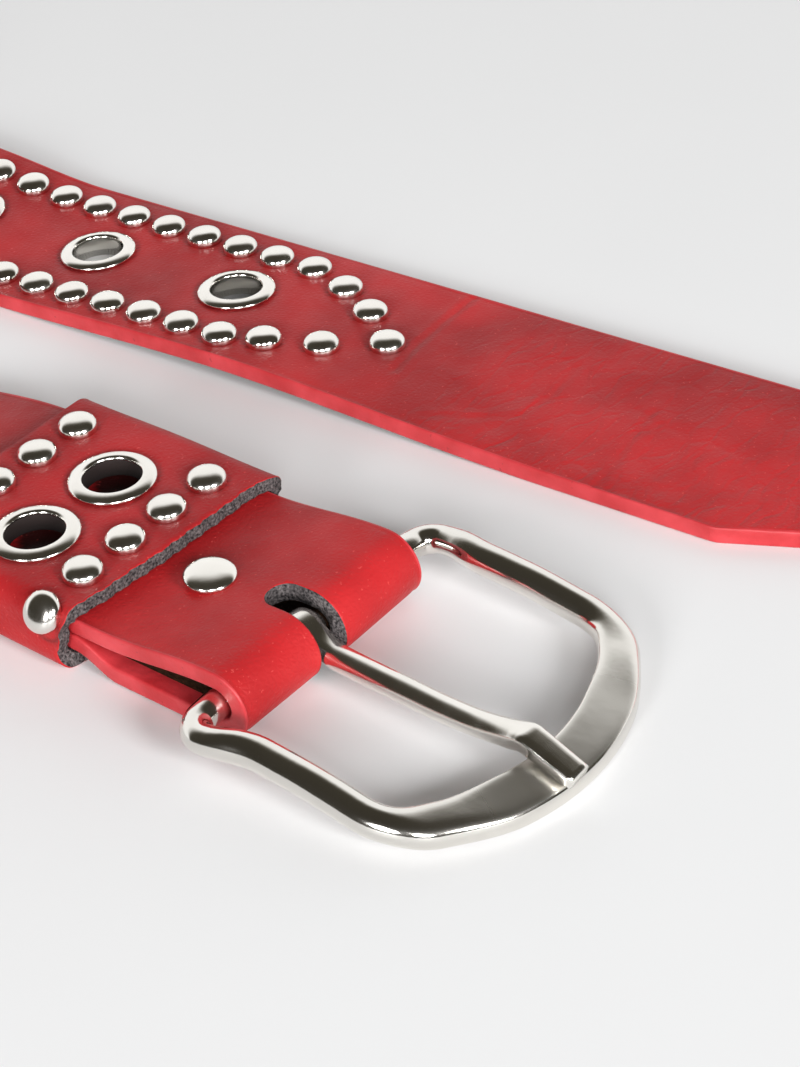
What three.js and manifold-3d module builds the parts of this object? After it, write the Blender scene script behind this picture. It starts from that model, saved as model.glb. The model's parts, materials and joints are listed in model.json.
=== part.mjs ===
// A red leather belt with a prong buckle, dome studs and eyelets, laid down with both ends flat.
// Units are millimetres, +Z is up, the belt lies on z = 0 and +X is the way both ends point.
import * as THREE from 'three';
import { mergeVertices } from 'three/addons/utils/BufferGeometryUtils.js';
import Module from 'manifold-3d';

const wasm = await Module();
wasm.setup();

// Leather
const strapWidth = 38.5;
const strapThickness = 3;
const edgeBevel = 0.4;
const fitGap = 0.3;
const layerGap = 0.3;

// How the strap lies: two legs with a teardrop loop standing on its edge between them
const legRun = 315;
const neckSpacing = 52;
const legSplayDeg = 3.35;
const flareRadius = 120;
const loopRadius = 50;
const tipRun = 349;
const tipLength = 42;
const tipEndWidth = 3;
const restDrop = 45;
const buckleTwist = { start: 108, length: 130 };
const studTwist = { start: 246, length: 100 };

// How far the far edge or the near edge is tipped up along the studded leg, back from the shoulder
const tiltTable = [
  { back: 246, deg: 0 },
  { back: 182, deg: 4 },
  { back: 150, deg: 0 },
  { back: 92, deg: -3 },
  { back: 30, deg: 0 },
];

// Fold, slot and rivet at the buckle. The tail lies low behind the bar and climbs into the keeper.
const foldOpening = 22;
const tailLength = 59;
const tailClimb = { start: 19.5, end: 27.2 };
const slotLength = 5.6;
const slotWidth = 5.6;
const slotShift = -0.8;
const rivet = {
  back: 15.6,
  shift: -2.2,
  headRadius: 4,
  headHeight: 1.5,
  postRadius: 1.4,
  capRadius: 3.4,
  capHeight: 0.8,
};

// Buckle frame and prong
const barRadius = 2.2;
const sideRadius = 2.45;
const barClearance = 0.35;
const frameLength = 44.5;
const frameHalfWidth = 25;
const frameShift = 1.3;
const rearCornerRadius = 3.4;
const rearDip = { far: 0.5, near: 0.2, from: 20.5, over: 3.4, front: 1.5, fade: 14 };
const rearFlare = { far: 1, near: 1.8, length: 9 };
const sideArch = { height: 1, rise: 8, from: 18, fall: 16 };
const frontCornerRadius = 11.3;
const frontArcRadius = 34;
const frontHalfWidth = 3.3;
const frontHalfHeight = 1.5;
const frontShear = 0.3;
const frontSquareness = 0.65;
const cornerFlatness = 0.55;
const floorClearance = 0.05;
const prongWall = 1.6;
const prongHalfWidth = 2;
const prongShift = -1.15;
const prongLean = -1.8;
const prongSides = 12;

// Prong sections along its length: share of the bar-to-front distance, middle above the bar's axis,
// half height, share of the half width, and squareness (1 is round, less is boxier)
const prongTable = [
  { share: 0.0, middle: 0, halfHeight: 1.6, widthShare: 0.9, squareness: 1 },
  { share: 0.09, middle: -0.8, halfHeight: 1.8, widthShare: 0.97, squareness: 1 },
  { share: 0.16, middle: -1.15, halfHeight: 1.9, widthShare: 1, squareness: 1 },
  { share: 0.4, middle: -1.1, halfHeight: 1.9, widthShare: 1, squareness: 1 },
  { share: 0.58, middle: -1, halfHeight: 1.9, widthShare: 1, squareness: 1 },
  { share: 0.72, middle: -0.45, halfHeight: 1.85, widthShare: 1, squareness: 1 },
  { share: 0.8, middle: 0.15, halfHeight: 1.8, widthShare: 1, squareness: 0.9 },
  { share: 0.86, middle: 0.65, halfHeight: 1.7, widthShare: 1.05, squareness: 0.8 },
  { share: 0.905, middle: 1.3, halfHeight: 1.4, widthShare: 1.1, squareness: 0.6 },
  { share: 1.09, middle: -1.35, halfHeight: 1.1, widthShare: 1, squareness: 0.6 },
];

// Keeper band
const keeperLeather = 2.4;
const keeperBack = 62.4;
const keeperFront = 22.6;
const keeperInnerRadius = 0.8;
const keeperFrontLean = 4.4;

// Studs and eyelets
const stud = { radius: 3, height: 2.3, rim: 0.5, sides: 12 };
const eyelet = { outerRadius: 6.85, holeRadius: 4.45, wall: 0.5, crown: 1.1, sides: 20 };
const studPitch = 8.2;
const studRowHalf = 13.3;
const studRowShift = -0.8;
const studRowCount = 14;
const rowStart = 96.5;
const eyeletPitch = 31.5;
const eyeletStart = 104;
const eyeletCount = 4;

// The studs that close each end of the two rows: back from the row's end stud, and across
const closingStuds = [
  { name: 'far_1', beyond: 8.8, across: 9.5 },
  { name: 'far_2', beyond: 17.3, across: 4.9 },
  { name: 'apex', beyond: 25.6, across: -1.9 },
  { name: 'near_2', beyond: 16.6, across: -8 },
  { name: 'near_1', beyond: 7.3, across: -11.5 },
];

// Keeper studs and eyelets: rows along the belt, places across it
const keeperRowMiddle = 43.2;
const keeperRowHalf = 13.4;
const keeperStudPitch = 8.8;
const keeperStudShift = -4.3;
const keeperStudsPerRow = 5;
const keeperEyeletMiddle = 42.4;
const keeperEyeletHalf = 8.15;
const keeperEyeletShift = -2;

const slopeStep = 0.5;
const shapeDetail = { foldSteps: 12, climbSteps: 5, loopStep: 7, flareStep: 9, straightStep: 12, twistSteps: 16 };

const redLeather = new THREE.MeshStandardMaterial({ color: 0xa32326, roughness: 0.5, metalness: 0 });
const keeperRed = new THREE.MeshStandardMaterial({ color: 0x9c2022, roughness: 0.5, metalness: 0 });
const nickel = new THREE.MeshStandardMaterial({ color: 0xc9c6bf, roughness: 0.16, metalness: 1 });
const satinNickel = new THREE.MeshStandardMaterial({ color: 0xbab6ad, roughness: 0.3, metalness: 1 });

const halfStrap = strapWidth / 2;
const halfLeather = strapThickness / 2;
const foldRadius = barRadius + barClearance + halfLeather;
const barHeight = foldRadius + halfLeather + floorClearance;
const tailMiddle = keeperLeather + fitGap + halfLeather;
const topMiddle = tailMiddle + strapThickness + layerGap;
const keeperLength = keeperBack - keeperFront;
const keeperTop = topMiddle + halfLeather + fitGap + keeperLeather;
const halfSplay = THREE.MathUtils.degToRad(legSplayDeg / 2);

// One coordinate of a rounded box: a squareness of 1 gives a circle, less pulls it towards the corner
function squared(part, squareness) {
  return Math.sign(part) * Math.abs(part) ** squareness;
}

function smooth(t) {
  const u = Math.min(Math.max(t, 0), 1);
  return u * u * (3 - 2 * u);
}

// Smooth curve through a table: rows are read in order of the named column
function readTable(rows, key, value, at) {
  const sorted = [...rows].sort((a, b) => a[key] - b[key]);
  if (at <= sorted[0][key]) return sorted[0][value];
  for (let i = 1; i < sorted.length; i += 1) {
    const low = sorted[i - 1];
    const high = sorted[i];
    if (at <= high[key]) {
      return low[value] + (high[value] - low[value]) * smooth((at - low[key]) / (high[key] - low[key]));
    }
  }
  return sorted[sorted.length - 1][value];
}

// The plan of the strap behind the bar: straight legs joined by flares and one round loop
function planRuns() {
  const half = neckSpacing / 2;
  const beta = Math.acos((half + flareRadius * Math.cos(halfSplay)) / (loopRadius + flareRadius));
  const flareTurn = beta + halfSplay;
  const loopTurn = Math.PI + 2 * beta;
  return [
    { name: 'buckleLeg', length: legRun, turn: 0 },
    { name: 'flareOut', length: flareRadius * flareTurn, turn: flareTurn },
    { name: 'loop', length: loopRadius * loopTurn, turn: -loopTurn },
    { name: 'flareIn', length: flareRadius * flareTurn, turn: flareTurn },
    { name: 'tipLeg', length: tipRun + tipLength, turn: 0 },
  ];
}

const runs = planRuns();
const runStarts = [];
let walk = { s: 0, x: 0, y: 0, heading: Math.PI };
for (const run of runs) {
  runStarts.push({ ...walk });
  const end = advance(walk, run, run.length);
  walk = { s: walk.s + run.length, ...end };
}
const planLength = walk.s;
const shoulderAt = planLength - tipLength;

function advance(start, run, along) {
  if (run.turn === 0) {
    return {
      x: start.x + along * Math.cos(start.heading),
      y: start.y + along * Math.sin(start.heading),
      heading: start.heading,
    };
  }
  const radius = run.length / run.turn;
  const heading = start.heading + along / radius;
  return {
    x: start.x + radius * (Math.sin(heading) - Math.sin(start.heading)),
    y: start.y - radius * (Math.cos(heading) - Math.cos(start.heading)),
    heading,
  };
}

// Plan point and heading at a distance behind the bar, measured along the strap
function planAt(s) {
  let index = 0;
  while (index < runs.length - 1 && s > runStarts[index + 1].s) index += 1;
  return advance(runStarts[index], runs[index], s - runStarts[index].s);
}

// Turn of the strap about its own line: 0 lies face up, -90 degrees stands with its face outwards
function twistAt(s) {
  const standing = smooth((s - buckleTwist.start) / buckleTwist.length);
  const back = shoulderAt - s;
  const lying = 1 - smooth((back - studTwist.start) / studTwist.length);
  const tilt = readTable(tiltTable, 'back', 'deg', back);
  return THREE.MathUtils.degToRad(-90 * Math.min(standing, 1 - lying) + tilt);
}

// Height that the middle of the strap has above where it would rest, on top of the tail and keeper
function liftAt(s) {
  const foldPart = smooth(1 - s / foldOpening);
  const atKeeper = topMiddle - halfLeather;
  const atBar = barHeight + foldRadius - halfLeather;
  const resting = smooth((s - keeperBack) / restDrop);
  return (atKeeper + (atBar - atKeeper) * foldPart) * (1 - resting);
}

// Middle of the strap: its lowest edge rests on the floor, but for the stretch that rides on the tail
function strapMiddle(s) {
  const plan = planAt(s);
  const twist = twistAt(s);
  const rest = halfStrap * Math.abs(Math.sin(twist)) + halfLeather * Math.cos(twist);
  return new THREE.Vector3(plan.x, plan.y, rest + liftAt(s));
}

// Middle of the strap, its direction across and its face normal at s behind the bar
function strapPoint(s) {
  const { heading } = planAt(s);
  const twist = twistAt(s);
  const left = new THREE.Vector3(-Math.sin(heading), Math.cos(heading), 0);
  const across = left.multiplyScalar(Math.cos(twist)).add(new THREE.Vector3(0, 0, Math.sin(twist)));
  const along = strapMiddle(s + slopeStep).sub(strapMiddle(s - slopeStep));
  const face = new THREE.Vector3().crossVectors(along, across).normalize();
  return { middle: strapMiddle(s), across, face };
}

function tipHalfWidth(s) {
  const past = (s - shoulderAt) / tipLength;
  if (past <= 0) return halfStrap;
  return halfStrap + (tipEndWidth / 2 - halfStrap) * Math.min(past, 1);
}

// Stations of the whole strap, from the hidden tail, round the bar and on to the tip
function strapStations() {
  const across = new THREE.Vector3(0, -1, 0);
  const stations = [];
  const down = new THREE.Vector3(0, 0, -1);
  for (const back of tailPlaces()) {
    const middle = new THREE.Vector3(-back, 0, tailHeight(back));
    stations.push({ middle, across, face: down, half: halfStrap });
  }
  for (let i = 0; i <= shapeDetail.foldSteps; i += 1) {
    const angle = Math.PI * (i / shapeDetail.foldSteps - 0.5);
    const face = new THREE.Vector3(Math.cos(angle), 0, Math.sin(angle));
    const middle = face.clone().multiplyScalar(foldRadius).add(new THREE.Vector3(0, 0, barHeight));
    stations.push({ middle, across, face, half: halfStrap });
  }
  for (const s of bodyPlaces()) {
    stations.push({ ...strapPoint(s), half: tipHalfWidth(s) });
  }
  return stations;
}

// Height of the tail's middle: low behind the bar, then up over the keeper's lower side
function tailHeight(back) {
  const low = barHeight - foldRadius;
  const climb = smooth((back - tailClimb.start) / (tailClimb.end - tailClimb.start));
  return low + (tailMiddle - low) * climb;
}

// Places along the tail behind the bar, from its end to the bar
function tailPlaces() {
  const places = [tailLength, (tailLength + tailClimb.end) / 2];
  for (let i = 0; i <= shapeDetail.climbSteps; i += 1) {
    places.push(tailClimb.end + (tailClimb.start - tailClimb.end) * (i / shapeDetail.climbSteps));
  }
  places.push(tailClimb.start / 2);
  return places;
}

// Places behind the bar where the strap gets a station: close where it turns, far apart where straight
function bodyPlaces() {
  const marks = [0, foldOpening, keeperFront, keeperBack, keeperBack + restDrop];
  marks.push(buckleTwist.start, buckleTwist.start + buckleTwist.length);
  marks.push(...runStarts.map((start) => start.s));
  marks.push(shoulderAt - studTwist.start - studTwist.length);
  marks.push(...tiltTable.map((row) => shoulderAt - row.back), shoulderAt, planLength);
  const sorted = [...new Set(marks)].sort((a, b) => a - b);
  const places = [];
  for (let i = 1; i < sorted.length; i += 1) {
    const middle = (sorted[i] + sorted[i - 1]) / 2;
    const count = Math.max(1, Math.ceil((sorted[i] - sorted[i - 1]) / stepAt(middle)));
    for (let k = 1; k <= count; k += 1) {
      places.push(sorted[i - 1] + (sorted[i] - sorted[i - 1]) * (k / count));
    }
  }
  return places;
}

function stepAt(s) {
  const back = shoulderAt - s;
  if (s < foldOpening) return foldOpening / 4;
  if (s > keeperBack && s < keeperBack + restDrop) return restDrop / 6;
  if (s > buckleTwist.start && s < buckleTwist.start + buckleTwist.length) {
    return buckleTwist.length / shapeDetail.twistSteps;
  }
  if (back > studTwist.start && back < studTwist.start + studTwist.length) {
    return studTwist.length / shapeDetail.twistSteps;
  }
  if (s > runStarts[2].s && s < runStarts[3].s) return shapeDetail.loopStep;
  if (s > runStarts[1].s && s < runStarts[4].s) return shapeDetail.flareStep;
  return shapeDetail.straightStep;
}

// A closed body through rings of points, each ring counter-clockwise seen from the end
function ringBody(rings) {
  const positions = [];
  const indices = [];
  const count = rings[0].length;
  for (const ring of rings) {
    for (const point of ring) positions.push(point.x, point.y, point.z);
  }
  for (let r = 0; r < rings.length - 1; r += 1) {
    for (let k = 0; k < count; k += 1) {
      const a = r * count + k;
      const b = r * count + ((k + 1) % count);
      indices.push(a, b, b + count, a, b + count, a + count);
    }
  }
  const last = (rings.length - 1) * count;
  for (let k = 1; k < count - 1; k += 1) {
    indices.push(0, k + 1, k);
    indices.push(last, last + k, last + k + 1);
  }
  return bufferGeometry(positions, indices);
}

// A closed ring of sections that ends where it starts
function closedLoopBody(rings) {
  const positions = [];
  const indices = [];
  const count = rings[0].length;
  for (const ring of rings) {
    for (const point of ring) positions.push(point.x, point.y, point.z);
  }
  for (let r = 0; r < rings.length; r += 1) {
    const next = (r + 1) % rings.length;
    for (let k = 0; k < count; k += 1) {
      const a = r * count + k;
      const b = r * count + ((k + 1) % count);
      const c = next * count + ((k + 1) % count);
      const d = next * count + k;
      indices.push(a, b, c, a, c, d);
    }
  }
  return bufferGeometry(positions, indices);
}

function bufferGeometry(positions, indices) {
  const geometry = new THREE.BufferGeometry();
  geometry.setAttribute('position', new THREE.Float32BufferAttribute(positions, 3));
  geometry.setIndex(indices);
  return outward(geometry);
}

// Turns a closed mesh so that its faces point out
function outward(geometry) {
  const position = geometry.getAttribute('position');
  const index = geometry.getIndex();
  const [a, b, c] = [new THREE.Vector3(), new THREE.Vector3(), new THREE.Vector3()];
  let volume = 0;
  for (let i = 0; i < index.count; i += 3) {
    a.fromBufferAttribute(position, index.getX(i));
    b.fromBufferAttribute(position, index.getX(i + 1));
    c.fromBufferAttribute(position, index.getX(i + 2));
    volume += a.dot(b.cross(c));
  }
  if (volume < 0) {
    for (let i = 0; i < index.count; i += 3) {
      const first = index.getX(i);
      index.setX(i, index.getX(i + 1));
      index.setX(i + 1, first);
    }
  }
  return geometry;
}

function toSolid(geometry) {
  const bare = geometry.clone();
  bare.deleteAttribute('normal');
  bare.deleteAttribute('uv');
  const merged = mergeVertices(bare, 1e-4);
  return new wasm.Manifold(new wasm.Mesh({
    numProp: 3,
    vertProperties: new Float32Array(merged.getAttribute('position').array),
    triVerts: new Uint32Array(merged.getIndex().array),
  }));
}

function toGeometry(solid) {
  const mesh = solid.getMesh();
  const geometry = new THREE.BufferGeometry();
  geometry.setAttribute('position', new THREE.BufferAttribute(new Float32Array(mesh.vertProperties), 3));
  geometry.setIndex(new THREE.BufferAttribute(new Uint32Array(mesh.triVerts), 1));
  return geometry;
}

// An upright cylinder standing through z, for holes
function upright(radius, low, high, sides) {
  const geometry = new THREE.CylinderGeometry(radius, radius, high - low, sides);
  geometry.rotateX(Math.PI / 2);
  geometry.translate(0, 0, (low + high) / 2);
  return geometry;
}

// A frame that stands on the strap's face at s behind the bar and a place across it
function seatOnStrap(s, offset) {
  const point = strapPoint(s);
  const along = new THREE.Vector3().crossVectors(point.across, point.face);
  const origin = point.middle.clone().addScaledVector(point.across, offset);
  return new THREE.Matrix4().makeBasis(along, point.across, point.face).setPosition(origin);
}

function studPlaces() {
  const places = [];
  for (const [row, side] of [['far', 1], ['near', -1]]) {
    for (let i = 0; i < studRowCount; i += 1) {
      const across = side * studRowHalf + studRowShift;
      places.push({ name: `strap_stud_${row}_${i + 1}`, back: rowStart + i * studPitch, across });
    }
  }
  const rowEnd = rowStart + (studRowCount - 1) * studPitch;
  for (const row of closingStuds) {
    places.push({ name: `strap_stud_front_${row.name}`, back: rowStart - row.beyond, across: row.across });
    places.push({ name: `strap_stud_back_${row.name}`, back: rowEnd + row.beyond, across: row.across });
  }
  return places;
}

function eyeletPlaces() {
  const places = [];
  for (let i = 0; i < eyeletCount; i += 1) {
    places.push({ name: `strap_eyelet_${i + 1}`, back: eyeletStart + i * eyeletPitch, across: 0 });
  }
  return places;
}

function strapGeometry() {
  const rings = strapStations().map((station) => {
    const h = station.half;
    const t = halfLeather;
    const b = edgeBevel;
    const outline = [
      [h - b, t], [h, t - b], [h, b - t], [h - b, -t],
      [b - h, -t], [-h, b - t], [-h, t - b], [b - h, t],
    ];
    return outline.map(([a, n]) => station.middle.clone()
      .addScaledVector(station.across, a)
      .addScaledVector(station.face, n));
  });
  let solid = toSolid(ringBody(rings));
  for (const place of eyeletPlaces()) {
    const reach = strapThickness * 2;
    const hole = upright(eyelet.holeRadius + eyelet.wall + fitGap, -reach, reach, eyelet.sides);
    hole.applyMatrix4(seatOnStrap(shoulderAt - place.back, place.across));
    solid = solid.subtract(toSolid(hole));
  }
  solid = solid.subtract(toSolid(slotGeometry()));
  for (const hole of rivetSeats()) {
    hole.translate(-rivet.back, rivet.shift, 0);
    solid = solid.subtract(toSolid(hole));
  }
  return toGeometry(solid);
}

// Heights that the rivet grips between: the top layer's face, and a seat that hides its cap in the tail
function rivetGrip() {
  return {
    top: strapPoint(rivet.back).middle.z + halfLeather,
    back: tailHeight(rivet.back) - halfLeather + fitGap + rivet.capHeight,
  };
}

// The rivet's hole, with shallow seats pressed in where the leather slopes past the head and the cap
function rivetSeats() {
  const grip = rivetGrip();
  const above = barHeight * 2 + strapThickness;
  return [
    upright(rivet.postRadius + fitGap, -strapThickness, above, 16),
    upright(rivet.headRadius + fitGap, grip.top, above, 24),
    upright(rivet.capRadius + fitGap, -strapThickness, grip.back, 24),
  ];
}

// The prong's slot: a straight way with a round end, right through the fold
function slotGeometry() {
  const half = slotWidth / 2;
  const reach = foldRadius + strapThickness;
  const shape = new THREE.Shape();
  shape.moveTo(reach, slotShift - half);
  shape.lineTo(reach, slotShift + half);
  shape.lineTo(half - slotLength, slotShift + half);
  shape.absarc(half - slotLength, slotShift, half, Math.PI / 2, 1.5 * Math.PI, false);
  const depth = barHeight + foldRadius + strapThickness * 2;
  const geometry = new THREE.ExtrudeGeometry(shape, { depth, bevelEnabled: false, curveSegments: 8 });
  geometry.translate(0, 0, -strapThickness);
  return geometry;
}

// Half a round of plan points for the frame's middle line, from the bar's middle to the front's middle
function framePlan(flareWidth) {
  const arcCentre = frameLength - frontArcRadius;
  const inner = frontArcRadius - frontCornerRadius;
  const rise = frameHalfWidth - frontCornerRadius;
  const cornerX = arcCentre + Math.sqrt(inner * inner - rise * rise);
  const meet = Math.atan2(rise, cornerX - arcCentre);
  const rearY = frameHalfWidth + flareWidth - rearCornerRadius;
  const points = [];
  for (const share of [0.1, rearDip.from / rearY, 1]) {
    points.push({ x: 0, y: rearY * share, out: Math.PI, front: 0 });
  }
  for (let i = 1; i <= 4; i += 1) {
    const angle = Math.PI - (i / 4) * (Math.PI / 2);
    points.push({
      x: rearCornerRadius + rearCornerRadius * Math.cos(angle),
      y: rearY + rearCornerRadius * Math.sin(angle),
      out: angle,
      front: 0,
    });
  }
  for (const share of [0.08, 0.2, 0.4, 0.7, 1]) {
    const past = (cornerX - rearCornerRadius) * share;
    points.push({
      x: rearCornerRadius + past,
      y: frameHalfWidth + flareWidth * (1 - smooth(past / rearFlare.length)),
      out: Math.PI / 2,
      front: 0,
    });
  }
  for (let i = 1; i <= 5; i += 1) {
    const angle = Math.PI / 2 + (meet - Math.PI / 2) * (i / 5);
    points.push({
      x: cornerX + frontCornerRadius * Math.cos(angle),
      y: rise + frontCornerRadius * Math.sin(angle),
      out: angle,
      front: cornerFlatness * smooth(i / 4 - 0.25),
    });
  }
  for (let i = 1; i <= 4; i += 1) {
    const angle = meet * (1 - i / 4);
    points.push({
      x: arcCentre + frontArcRadius * Math.cos(angle),
      y: frontArcRadius * Math.sin(angle),
      out: angle,
      front: cornerFlatness + (1 - cornerFlatness) * smooth(i / 2),
    });
  }
  return points;
}

// Front middle height so that the lowest point of the bevelled front bar just clears the floor
const frontMiddle = frontHalfHeight + frontShear * frontHalfWidth * 0.75 + floorClearance;
const frameSlope = (barHeight - frontMiddle) / frameLength;

// Height of the frame's middle line: the rear corners dip, the sides arch, and the front comes down
function frameHeight(point) {
  const outwards = smooth((Math.abs(point.y) - rearDip.from) / rearDip.over);
  const drop = point.y > 0 ? rearDip.far : rearDip.near;
  const dip = drop * outwards * (1 - smooth((point.x - rearDip.front) / rearDip.fade));
  const arch = smooth(point.x / sideArch.rise) * (1 - smooth((point.x - sideArch.from) / sideArch.fall));
  return barHeight - frameSlope * point.x - dip + sideArch.height * arch;
}

function frameSection(point) {
  const f = point.front;
  const round = point.x < rearCornerRadius ? barRadius : sideRadius;
  const halfWidth = round + (frontHalfWidth - round) * f;
  const halfHeight = round + (frontHalfHeight - round) * f;
  const squareness = 1 + (frontSquareness - 1) * f;
  const ring = [];
  const sides = 12;
  for (let k = 0; k < sides; k += 1) {
    const angle = (2 * Math.PI * (k + 0.5)) / sides;
    const out = halfWidth * squared(Math.cos(angle), squareness);
    const up = halfHeight * squared(Math.sin(angle), squareness) - frontShear * f * out;
    ring.push(new THREE.Vector3(
      point.x + out * Math.cos(point.out),
      point.y + out * Math.sin(point.out) + frameShift,
      frameHeight(point) + up,
    ));
  }
  return ring;
}

function frameGeometry() {
  const farHalf = framePlan(rearFlare.far);
  const nearHalf = framePlan(rearFlare.near).slice(0, -1).reverse();
  const mirrored = nearHalf.map((point) => ({ ...point, y: -point.y, out: -point.out }));
  return closedLoopBody([...farHalf, ...mirrored].map(frameSection));
}

// The prong: a tongue through the table's sections, joined to an eye round the bar
function prongGeometry() {
  const rings = prongTable.map((row) => {
    const middle = new THREE.Vector3(row.share * frameLength, row.share * prongLean, barHeight + row.middle);
    const ring = [];
    for (let k = 0; k < prongSides; k += 1) {
      const angle = (2 * Math.PI * (k + 0.5)) / prongSides;
      const y = prongHalfWidth * row.widthShare * squared(Math.cos(angle), row.squareness);
      const z = row.halfHeight * squared(Math.sin(angle), row.squareness);
      ring.push(new THREE.Vector3(0, y, z).add(middle));
    }
    return ring;
  });
  const outer = barRadius + fitGap + prongWall;
  const eye = upright(outer, -prongHalfWidth, prongHalfWidth, 20);
  const bore = upright(barRadius + fitGap, -strapWidth, strapWidth, 20);
  for (const round of [eye, bore]) {
    round.rotateX(Math.PI / 2);
    round.translate(0, 0, barHeight);
  }
  const solid = toSolid(ringBody(rings)).add(toSolid(eye)).subtract(toSolid(bore));
  const geometry = toGeometry(solid);
  geometry.translate(0, prongShift, 0);
  return geometry;
}

// The keeper's outline round the belt in its Y-Z section, grown by a distance
function keeperOutline(path, grow) {
  const halfWidth = halfStrap + fitGap + grow;
  const low = keeperLeather - grow;
  const high = topMiddle + halfLeather + fitGap + grow;
  const radius = keeperInnerRadius + grow;
  path.moveTo(halfWidth - radius, low);
  path.absarc(halfWidth - radius, low + radius, radius, -Math.PI / 2, 0, false);
  path.absarc(halfWidth - radius, high - radius, radius, 0, Math.PI / 2, false);
  path.absarc(radius - halfWidth, high - radius, radius, Math.PI / 2, Math.PI, false);
  path.absarc(radius - halfWidth, low + radius, radius, Math.PI, 1.5 * Math.PI, false);
  path.closePath();
  return path;
}

// The keeper's front edge leans back towards the floor
function leanFront(band) {
  const position = band.getAttribute('position');
  for (let i = 0; i < position.count; i += 1) {
    const onFront = position.getX(i) > -(keeperFront + keeperBack) / 2;
    const lean = onFront ? keeperFrontLean * (1 - position.getZ(i) / keeperTop) : 0;
    position.setX(i, position.getX(i) - lean);
  }
}

function keeperGeometry() {
  const shape = keeperOutline(new THREE.Shape(), keeperLeather);
  shape.holes.push(keeperOutline(new THREE.Path(), 0));
  const band = new THREE.ExtrudeGeometry(shape, { depth: keeperLength, bevelEnabled: false, curveSegments: 5 });
  band.rotateX(Math.PI / 2);
  band.rotateZ(Math.PI / 2);
  band.translate(-keeperBack, 0, 0);
  leanFront(band);
  let solid = toSolid(band);
  for (const place of keeperEyeletPlaces()) {
    const reach = keeperLeather + fitGap;
    const hole = upright(eyelet.holeRadius + eyelet.wall + fitGap, -reach, reach, eyelet.sides);
    hole.applyMatrix4(place.seat);
    solid = solid.subtract(toSolid(hole));
  }
  return toGeometry(solid);
}

// A seat on the keeper's outside: flat on top, and turning down over the rounded edge
function seatOnKeeper(x, acrossArc) {
  const radius = keeperInnerRadius + keeperLeather;
  const flatHalf = halfStrap + fitGap + keeperLeather - radius;
  const over = Math.max(Math.abs(acrossArc) - flatHalf, 0);
  const angle = Math.min(over / radius, Math.PI / 2);
  const side = Math.sign(acrossArc);
  const y = Math.min(Math.abs(acrossArc), flatHalf) + radius * Math.sin(angle);
  const z = keeperTop - radius * (1 - Math.cos(angle));
  const face = new THREE.Vector3(0, side * Math.sin(angle), Math.cos(angle));
  const along = new THREE.Vector3(1, 0, 0);
  const across = new THREE.Vector3().crossVectors(face, along);
  return new THREE.Matrix4().makeBasis(along, across, face).setPosition(x, side * y, z);
}

function keeperStudPlaces() {
  const middle = -keeperRowMiddle;
  const places = [];
  for (const [row, side] of [['front', 1], ['back', -1]]) {
    for (let i = 0; i < keeperStudsPerRow; i += 1) {
      const arc = ((keeperStudsPerRow - 1) / 2 - i) * keeperStudPitch + keeperStudShift;
      places.push({ name: `keeper_stud_${row}_${i + 1}`, seat: seatOnKeeper(middle + side * keeperRowHalf, arc) });
    }
  }
  return places;
}

function keeperEyeletPlaces() {
  return [['far', 1], ['near', -1]].map(([name, side]) => {
    const seat = seatOnKeeper(-keeperEyeletMiddle, keeperEyeletShift + side * keeperEyeletHalf);
    return { name: `keeper_eyelet_${name}`, seat };
  });
}

function lathed(profile, sides) {
  const points = profile.map(([radius, height]) => new THREE.Vector2(radius, height));
  const geometry = new THREE.LatheGeometry(points, sides);
  geometry.rotateX(Math.PI / 2);
  geometry.deleteAttribute('normal');
  geometry.deleteAttribute('uv');
  return outward(mergeVertices(geometry, 1e-4));
}

// A dome head with a short upright rim, standing on z = 0
function studGeometry() {
  const { radius, height, rim } = stud;
  const shoulder = rim + (height - rim) * 0.72;
  return lathed([[0, 0], [radius * 0.92, 0], [radius, rim], [radius * 0.72, shoulder], [0, height]], stud.sides);
}

// A rolled flange with a barrel through the leather; z = 0 is the leather's face
function eyeletGeometry(depth) {
  const { outerRadius, holeRadius, wall, crown } = eyelet;
  const barrel = holeRadius + wall;
  const lip = (outerRadius + holeRadius) / 2;
  return lathed([
    [holeRadius, -depth], [barrel, -depth], [barrel, 0], [outerRadius, 0],
    [outerRadius - 0.25, crown * 0.6], [lip, crown], [holeRadius, crown * 0.45], [holeRadius, -depth],
  ], eyelet.sides);
}

// A dome head, a post and a back cap, with z = 0 at the leather's upper face
function rivetGeometry(grip) {
  const back = -grip - fitGap;
  return lathed([
    [0, back - rivet.capHeight], [rivet.capRadius * 0.85, back - rivet.capHeight], [rivet.capRadius, back],
    [rivet.postRadius, back], [rivet.postRadius, fitGap], [rivet.headRadius, fitGap],
    [rivet.headRadius, fitGap + 0.3], [rivet.headRadius * 0.7, fitGap + rivet.headHeight * 0.75],
    [0, fitGap + rivet.headHeight],
  ], 16);
}

function addMesh(parent, name, geometry, material, seat) {
  const mesh = new THREE.Mesh(geometry, material);
  mesh.name = name;
  if (seat) seat.decompose(mesh.position, mesh.quaternion, mesh.scale);
  parent.add(mesh);
  return mesh;
}

// The same seat, lifted off the leather by a clearance
function lifted(seat, clearance) {
  return seat.clone().multiply(new THREE.Matrix4().makeTranslation(0, 0, clearance));
}

const belt = new THREE.Group();
addMesh(belt, 'strap', strapGeometry(), redLeather);
addMesh(belt, 'keeper', keeperGeometry(), keeperRed);
addMesh(belt, 'buckle_frame', frameGeometry(), satinNickel);
addMesh(belt, 'prong', prongGeometry(), nickel);

const grip = rivetGrip();
const rivetMesh = addMesh(belt, 'rivet', rivetGeometry(grip.top - grip.back), nickel);
rivetMesh.position.set(-rivet.back, rivet.shift, grip.top);

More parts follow.
